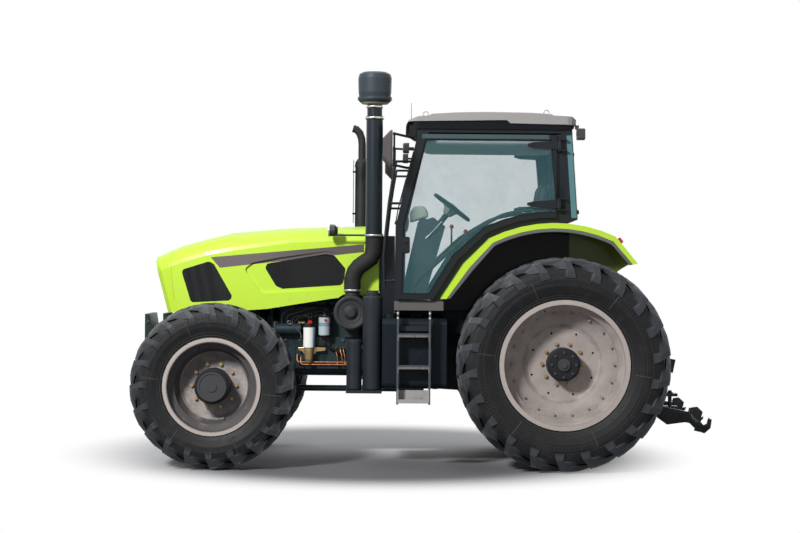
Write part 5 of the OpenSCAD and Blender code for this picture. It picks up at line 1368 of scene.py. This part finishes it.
class TRACTOR_OT_fuel_lines(Step, bpy.types.Operator):
    """Adds the hoses, copper pipes, unions, dipstick and injector pipes beside the engine"""

    bl_idname = "tractor.fuel_lines"
    bl_label = "Fuel lines"

    def build(self, sizes, colours):
        radius = sizes.hose_radius * MM
        hoses = [tube("hose", path, radius + more, bend) for path, more, bend in (
            ([(2021, 300, 1142), (2021, 306, 1180), (2080, 300, 1190), (2130, 280, 1150),
            (2150, 262, 1112)], 0, 40),
            ([(1897, 300, 1188), (1897, 300, 1230), (1960, 290, 1240), (2000, 286, 1200),
            (2008, 284, 1140)], 0, 40),
            ([(1870, 270, 1196), (1850, 262, 1250), (1880, 220, 1290), (1960, 190, 1330)], 0, 40),
            ([(1897, 262, 960), (1860, 258, 930), (1800, 250, 900), (1740, 246, 860), (1640, 240, 850)], 3,
            50))]
        group("fuel_hoses", hoses, moulded("hose_rubber", (0.016, 0.017, 0.018), 0.55, 600), "canisters")
        pipes = [tube("pipe", [(x, y - 20, z + 60), (x, y, z), (1690, y, z), (1660, y - 20, z - 40)], 5.5,
            22)
                 for x, y, z in ((2120, 262, 806), (2090, 276, 786))]
        pipes += [tube("pipe", [(x, 258, 790), (x, 262, 850), (x + 16, 250, 905), (x + 10, 232, 925)], 5,
            18)
                  for x in (1790, 1752, 1728)]
        group("copper_pipes", pipes, bare_metal("copper_pipe", (0.46, 0.20, 0.10), 0.35), "canisters")
        parts = [outline_piece("bowl_flange", [
            (1888, 896), (1960, 890), (1975, 868), (2066, 868), (2080, 890), (2112, 900), (2112, 926),
            (1888, 926)],
            "xz", (240, 262), 4)]
        union = [(0, -9), (9, -9), (12, -5), (12, 5), (9, 9), (0, 9)]
        for place, axis in (((2076, 286, 1128), ALONG), ((2098, 286, 1128), ALONG), ((2021, 300, 1136), UP),
                            ((1897, 300, 1186), UP), ((1790, 258, 792), UP), ((1728, 258, 792), UP)):
            parts.append(turned("union", union, place, axis, 6))
        parts.append(tube("brass_tube", [(2060, 286, 1128), (2108, 286, 1128)], 6, 0))
        brass = bare_metal("union_brass", tuple(colours.brass), 0.3)
        group("brass_unions", parts, brass, "canisters", smooth=20)
        knobs = [
            turned("knob", [(0, 0), (13, 0), (16, 4), (16, 14), (12, 19), (0, 20)], (2010, 328, 1134), OUT,
            20),
            turned("knob", [(0, 0), (9, 0), (10, 3), (9, 8), (0, 9)], (1888, 328, 1152), OUT, 16)]
        group("filter_knobs", knobs, moulded("knob_red", (0.62, 0.014, 0.012), 0.35), "canisters")
        runs = []
        for k in range(4):
            x, head = 2116 + k * 44, 1690 + k * 150
            runs.append(tube("run", [(x, 262, 1118), (x, 262, 1160 + k * 12), (head, 236, 1232 + k * 9),
                                     (head, 186, 1262), (head, 168, 1300)], 4, 26))
        runs.append(tube("run", [(2086, 300, 1000), (2092, 312, 1048), (2172, 318, 1120)], 4.5, 30))
        runs.append(hoop((2183, 318, 1130), 13, 3.6))
        group("steel_lines", runs, bare_metal("pipe_steel", (0.13, 0.14, 0.14), 0.4, 0.7), "engine")


class TRACTOR_OT_cooling(Step, bpy.types.Operator):
    """Adds the belt and the coolant hoses"""

    bl_idname = "tractor.cooling"
    bl_label = "Belt and coolant hoses"

    def build(self, sizes, colours):
        pulley = [(0, 0), (44, 0), (40, 6), (40, 22), (44, 28), (0, 28)]
        rounds = [polar((y, z), r + 3, a)
                  for y, z, r in ((0, 1000, 88), (0, 1250, 60), (-200, 1180, 44)) for a in range(0, 360, 6)]
        parts = [
            self.band(self.hull(rounds), (2336, 2366), 6),
            turned("pulley", pulley, (2337, -200, 1180), ALONG, 28),
            tube("hose", [(2352, 90, 1332), (2392, 90, 1350), (2420, 105, 1500), (2478, 110, 1560)], 24,
            50),
            tube("hose", [(2352, -120, 960), (2400, -130, 950), (2440, -150, 960), (2474, -150, 975)], 24,
            40)]
        group("belt_and_hoses", parts, moulded("coolant_rubber", (0.015, 0.016, 0.017), 0.55, 600),
            "radiator")

    def hull(self, points):
        """The outline round points in a plane."""
        points = sorted(set(points))
        halves = []
        for line in (points, points[::-1]):
            half = []
            for p in line:
                while len(half) > 1 and ((half[-1][0] - half[-2][0]) * (p[1] - half[-2][1])
                                         - (half[-1][1] - half[-2][1]) * (p[0] - half[-2][0])) <= 0:
                    half.pop()
                half.append(p)
            halves += half[:-1]
        return halves

    def band(self, outline, span, thick):
        """A flat band round a closed outline in the Y and Z plane."""
        obj = loop("band", [spot(span[0], y, z) for y, z in outline])
        edit(obj, stretched(((span[1] - span[0]) / MM, 0, 0)), NORMALS_OUT)
        modified(obj, "SOLIDIFY", thickness=thick / MM, offset=1)
        return obj


class TRACTOR_OT_bolts(Step, bpy.types.Operator):
    """Adds the bolts of the castings, the front bracket, the tanks and the steps"""

    bl_idname = "tractor.bolts"
    bl_label = "Bolts"

    def build(self, sizes, colours):
        size = sizes.bolt_size * MM
        places = []
        for k in range(6):
            places += [((1628 + k * 118, 220, 982), OUT), ((1628 + k * 118, 220, 790), OUT),
                       ((1640 + k * 112, 108, 1420), UP)]
        places += [((x, 220, z), OUT) for x in (2380, 2450, 2650, 2830, 3150, 3210) for z in (868, 802)]
        places += [((3345, 220, z), OUT) for z in (770, 850, 930, 1120)]
        for centre, y, radius, count, start in (((660, 850), 212, 80, 8, 0), ((0, 840), 270, 128, 12, 15),
                                                ((2740, 650), 120, 107, 10, 18)):
            for k in range(count):
                x, z = polar(centre, radius, start + 360 * k / count)
                places.append(((x, y, z), OUT))
        places += [((*polar((2740, 690), 42, 60 * k + 30), 800), UP) for k in range(6)]
        dark = cast_metal("bolt_steel", (0.060, 0.066, 0.068), 0.4, 0.4)
        on_both_sides(bolts("left_casting_bolts", places, size), CHASSIS, dark, 25)
        few = [((x, 920, z), OUT) for z in (1230, 1192) for x in (1048, 1298)]
        zinc = bare_metal("zinc_bolts", (0.55, 0.54, 0.50), 0.35)
        on_both_sides(bolts("left_zinc_bolts", few, size * 0.6), CHASSIS, zinc, 25)


class TRACTOR_OT_wipers(Step, bpy.types.Operator):
    """Adds the windshield wiper and the rear wiper with its knobs"""

    bl_idname = "tractor.wipers"
    bl_label = "Wipers"

    def build(self, sizes, colours):
        black = moulded("wiper_black", (0.014, 0.015, 0.016), 0.45)
        parts = [
            tube("arm", on_shield((14, -330, 1960), (22, -290, 2080), (16, -205, 2330)), 5, 20),
            turned("pivot", [(0, -14), (17, -14), (19, 4), (14, 16), (0, 18)],
            on_shield((6, -330, 1960))[0],
                   (1, 0, SHIELD_SLOPE), 20),
            tube("blade", on_shield((7, -205, 2120), (12, -205, 2330), (7, -205, 2560)), 6, 40)]
        group("windshield_wiper", parts, black, "cab_frame")
        parts = [
            tube("arm", on_rear_window((-34, 60, 2590), (-22, 110, 2470), (-12, 190, 2330)), 4.5, 20),
            tube("blade", on_rear_window((-6, 190, 2210), (-10, 190, 2330), (-6, 190, 2460)), 5.5, 30)]
        knob = [(0, 0), (17, 0), (19, 5), (18, 17), (12, 22), (0, 22)]
        small = [(0, 0), (14, 0), (15, 5), (13, 14), (0, 15)]
        rounds = [("motor", [(0, 0), (26, 0), (28, 8), (24, 26), (12, 32), (0, 32)], 60, 2590, 24)]
        for y in (-560, 560):
            rounds += [("knob", knob, y, 2040, 20), ("knob", small, y, 2500, 20)]
        for name, profile, y, z, steps in rounds:
            parts.append(turned(name, profile, on_rear_window((-1, y, z))[0], (-1, 0, 0.07), steps))
        group("rear_wiper", parts, black, "rear_window", "rear_window")


class TRACTOR_OT_door_fittings(Step, bpy.types.Operator):
    """Adds the rubber seals round the door glass, the inner handle and the lock"""

    bl_idname = "tractor.door_fittings"
    bl_label = "Door fittings"

    def build(self, sizes, colours):
        seal = outline_piece("left_door_seal", door_line(35), "xz", (789.3, 793.5), 0)
        self.hollow(seal, door_line(49))
        on_both_sides(seal, DOORS, moulded("seal_rubber", (0.010, 0.011, 0.012), 0.65, 500))
        post = outline_piece("left_door_post", [(-42, 1978), (78, 1990), (84, 2020), (84, 2600), (74, 2640),
            (14, 2652)],
                             "xz", (749, 764.6), 4)
        satin = painted_metal("post_paint", tuple(colours.cab), 0.34, 0.0)
        on_both_sides(post, CHASSIS, satin)
        pull = outline_piece("left_inner_handle", [
            (1222, 1895), (1250, 1880), (1268, 1900), (1266, 2000), (1248, 2022), (1224, 2008),
            (1216, 1950)],
            "xz", (742, 768), 8, 3)
        on_both_sides(pull, DOORS, moulded("handle_brown", (0.060, 0.022, 0.018), 0.42))
        barrel = [(0, 0), (17, 0), (18, 5), (14, 9), (6, 9), (5, 7), (0, 7)]
        lock = turned("left_door_lock", barrel, (1242, 806, 1790), OUT, 24)
        on_both_sides(lock, DOORS, moulded("lock_plastic", (0.02, 0.016, 0.016), 0.4))

    def hollow(self, obj, inner):
        """Cuts the opening out of a flat seal."""
        cutter = loop("cutter", [spot(x, 770, z) for x, z in inner], "NGON")
        edit(cutter, stretched((0, 0.05, 0)), NORMALS_OUT)
        modified(obj, "BOOLEAN", object=cutter, operation="DIFFERENCE", solver="EXACT")
        bpy.data.objects.remove(cutter)


class TRACTOR_OT_rear_fittings(Step, bpy.types.Operator):
    """Adds the shaft guard, the couplers, the pins' heads and the hook latches"""

    bl_idname = "tractor.rear_fittings"
    bl_label = "Rear fittings"

    def build(self, sizes, colours):
        half = [(96, 640), (88, 640), (88, 758), (74, 772)]
        roof = [(-y, z) for y, z in half[::-1]]
        outline = [(-96, 640), (-96, 762), (-78, 780), (78, 780), (96, 762)]
        guard = outline_piece("shaft_guard", outline + half + roof[:-1], "yz", (-384, -291), 1.5)
        plate = block("coupler_plate", (-318, -290.5), (90, 182), (930, 1060), 3)
        dark = painted_metal("guard_paint", (0.018, 0.021, 0.024), 0.4, 0.4)
        group("shaft_guard", [guard, plate], dark, "rear_axle")
        steel = bare_metal("coupler_steel", (0.55, 0.55, 0.53), 0.3)
        body = [(0, 0), (15, 0), (15, 14), (18, 16), (18, 34), (15, 37), (9, 37), (9, 30), (0, 30)]
        cap = [(0, 0), (13, 0), (15, 4), (14, 12), (8, 16), (0, 16)]
        for name, profile, x, material in (
                ("couplers", body, -318, steel),
                ("coupler_caps", cap, -356, moulded("cap_plastic", (0.42, 0.02, 0.018), 0.4))):
            parts = [turned(name, profile, (x, y, z), BACK, 20) for y in (112, 160) for z in (962, 1024)]
            group(name, parts, material, "rear_axle")
        pin = [(0, -6), (24, -6), (26, 0), (24, 8), (12, 12), (0, 12)]
        on_both_sides(turned("left_link_pin_head", pin, (-250, 287, 553), OUT, 20), CHASSIS, steel)
        on_both_sides(self.latch(), LINKS, bare_metal("latch_steel", (0.10, 0.10, 0.10), 0.4))

    def latch(self):
        """The spring latch and its pull ring on a hook."""
        spring = outline_piece("left_hook_latch", [
            (-1130, 372), (-1095, 398), (-1072, 430), (-1060, 428), (-1066, 392), (-1098, 360),
            (-1126, 352)],
            "xz", (475, 480), 2)
        pivot = turned("pivot", [(0, -3), (9, -3), (9, 6), (6, 9), (0, 9)], (-1100, 478, 372), OUT, 16)
        return joined([spring, pivot, hoop((-1064, 479, 442), 14, 3)], "left_hook_latch")


class TRACTOR_OT_lug_flanks(Step, bpy.types.Operator):
    """Adds the sloping flanks that widen the lugs of the tyres"""

    bl_idname = "tractor.lug_flanks"
    bl_label = "Lug flanks"

    def build(self, sizes, colours):
        for end, wheel in WHEELS.items():
            for side, sign in SIDES.items():
                centre = (wheel["x"], wheel["y"] * sign, wheel["tyre_r"])
                pivot = Matrix.Translation(spot(*centre))
                turns = [pivot @ Matrix.Rotation(math.tau * k / wheel["count"], 4, "Y") @ pivot.inverted()
                         for k in range(wheel["count"])]
                rows = [copies(lofted("flank", self.rings(centre, wheel, way)), turns) for way in (1, -1)]
                rubber = frame["nodes"][f"{end}_{side}_tyre"].material_slots[0].material
                group(f"{end}_{side}_lug_flanks", rows, rubber, f"{end}_{side}_tyre", f"{end}_{side}_wheel",
                    25)

    def rings(self, centre, wheel, way):
        """Four sections of a flank, from the middle of the tread to the shoulder, on one side of the tyre."""
        x, y, z = centre
        r, lug_w = wheel["tyre_r"], wheel["lug_w"]
        pitch = 360 / wheel["count"]
        tread = TREAD_HALF * wheel["width"]
        start = -(90 - math.degrees(LUG_START * lug_w / r)) - (pitch / 2 if way < 0 else 0)
        crown = r - wheel["lug_h"]
        rings = []
        for share, turn, top, foot, drop in (
                (0.12, 0.155, r - 1.5, crown - 1, 0), (0.5, 0.45, r - 4, crown - 8, 0),
                (0.94, 0.88, r - 16, crown - 27, 0), (1.12, 1.03, crown - 50, crown - 56, 14)):
            lug = start + LUG_SWEEP * turn
            edge = lug - math.degrees(0.40 * lug_w / top)
            far = lug - pitch * (0.50 if share > 0.3 else 0.30)
            ring = []
            for radius, angle, inset in ((top, edge, 0), (foot + 13, far, drop),
                    (foot - 10, far, drop + 12),
                                         (foot - 10, lug, 12)):
                px, pz = polar((x, z), radius, angle)
                ring.append((px, y + way * (share * tread - inset), pz))
            rings.append(ring)
        return rings


class TRACTOR_OT_panels(Step, bpy.types.Operator):
    """Adds the dark panels under the cab floor and the hooks' cover plates"""

    bl_idname = "tractor.panels"
    bl_label = "Panels and plates"

    def build(self, sizes, colours):
        apron = outline_piece("left_floor_apron", [
            (700, 1326), (1322, 1326), (1322, 1216), (950, 1216), (940, 1150), (900, 1050), (700, 1050)],
            "xz", (560, 566), 2)
        on_both_sides(apron, CHASSIS, moulded("apron_rubber", (0.008, 0.010, 0.013), 0.6, 500))
        plate = outline_piece("left_hook_plate", [
            (-795, 396), (-875, 339), (-1047, 363), (-1119, 292), (-1177, 270), (-1227, 314), (-1237, 386),
            (-1205, 386), (-1198, 350), (-1170, 337), (-1141, 372), (-1155, 415), (-1163, 444),
            (-1118, 486),
            (-1068, 479), (-1061, 442), (-815, 491)], "xz", (450, 474), 4)
        iron = cast_metal("hook_iron", (0.022, 0.026, 0.030), 0.42, 0.5)
        on_both_sides(plate, LINKS, iron)


class TRACTOR_OT_valves(Step, bpy.types.Operator):
    """Adds the tyre valves on the rims"""

    bl_idname = "tractor.valves"
    bl_label = "Tyre valves"

    def build(self, sizes, colours):
        rubber = moulded("valve_rubber", (0.014, 0.014, 0.015), 0.6)
        stem = [(0, -30), (8, -30), (8, 0), (6, 6), (4, 30), (5, 31), (5, 42), (0, 43)]
        turn = 70
        lean = polar((0, 0), -0.35, turn)
        for end, out, radius in (("rear", 60, 452), ("front", 40, 322)):
            wheel = WHEELS[end]
            x, z = polar((wheel["x"], wheel["tyre_r"]), radius, turn)
            valve = turned(f"{end}_left_valve", stem, (x, wheel["y"] + out, z), (lean[0], 0.9, lean[1]), 14)
            on_both_sides(valve, (f"{end}_left_wheel", f"{end}_right_wheel"), rubber)


CLASSES = [TractorSizes, TractorColours, TractorStage, TRACTOR_OT_stage, TRACTOR_OT_finishes,
    TRACTOR_OT_seat,
           TRACTOR_OT_dash, TRACTOR_OT_intake_clamps, TRACTOR_OT_fuel_lines, TRACTOR_OT_cooling,
           TRACTOR_OT_bolts,
           TRACTOR_OT_fender_trim, TRACTOR_OT_grab_bars, TRACTOR_OT_door_fittings, TRACTOR_OT_wipers,
           TRACTOR_OT_lamp_lenses, TRACTOR_OT_mirror_glass, TRACTOR_OT_roof_fittings,
           TRACTOR_OT_rear_fittings,
           TRACTOR_OT_panels, TRACTOR_OT_lug_flanks, TRACTOR_OT_valves]


class TRACTOR_PT_panel(bpy.types.Panel):
    """Lists the steps and their settings"""

    bl_idname = "TRACTOR_PT_panel"
    bl_label = "Tractor"
    bl_space_type = "VIEW_3D"
    bl_region_type = "UI"
    bl_category = "Tractor"

    def draw(self, context):
        for group in (context.scene.tractor_sizes, context.scene.tractor_colours,
                context.scene.tractor_stage):
            box = self.layout.box()
            for name in group.__annotations__:
                box.prop(group, name)
        for step in CLASSES:
            if issubclass(step, bpy.types.Operator):
                self.layout.operator(step.bl_idname)


def register():
    for step in CLASSES:
        bpy.utils.register_class(step)
    bpy.utils.register_class(TRACTOR_PT_panel)
    bpy.types.Scene.tractor_sizes = bpy.props.PointerProperty(type=TractorSizes)
    bpy.types.Scene.tractor_colours = bpy.props.PointerProperty(type=TractorColours)
    bpy.types.Scene.tractor_stage = bpy.props.PointerProperty(type=TractorStage)


def unregister():
    del bpy.types.Scene.tractor_stage
    del bpy.types.Scene.tractor_colours
    del bpy.types.Scene.tractor_sizes
    bpy.utils.unregister_class(TRACTOR_PT_panel)
    for step in reversed(CLASSES):
        bpy.utils.unregister_class(step)


def main():
    register()
    for step in CLASSES:
        if issubclass(step, bpy.types.Operator):
            group, name = step.bl_idname.split(".")
            getattr(getattr(bpy.ops, group), name)()


if __name__ == "__main__":
    main()
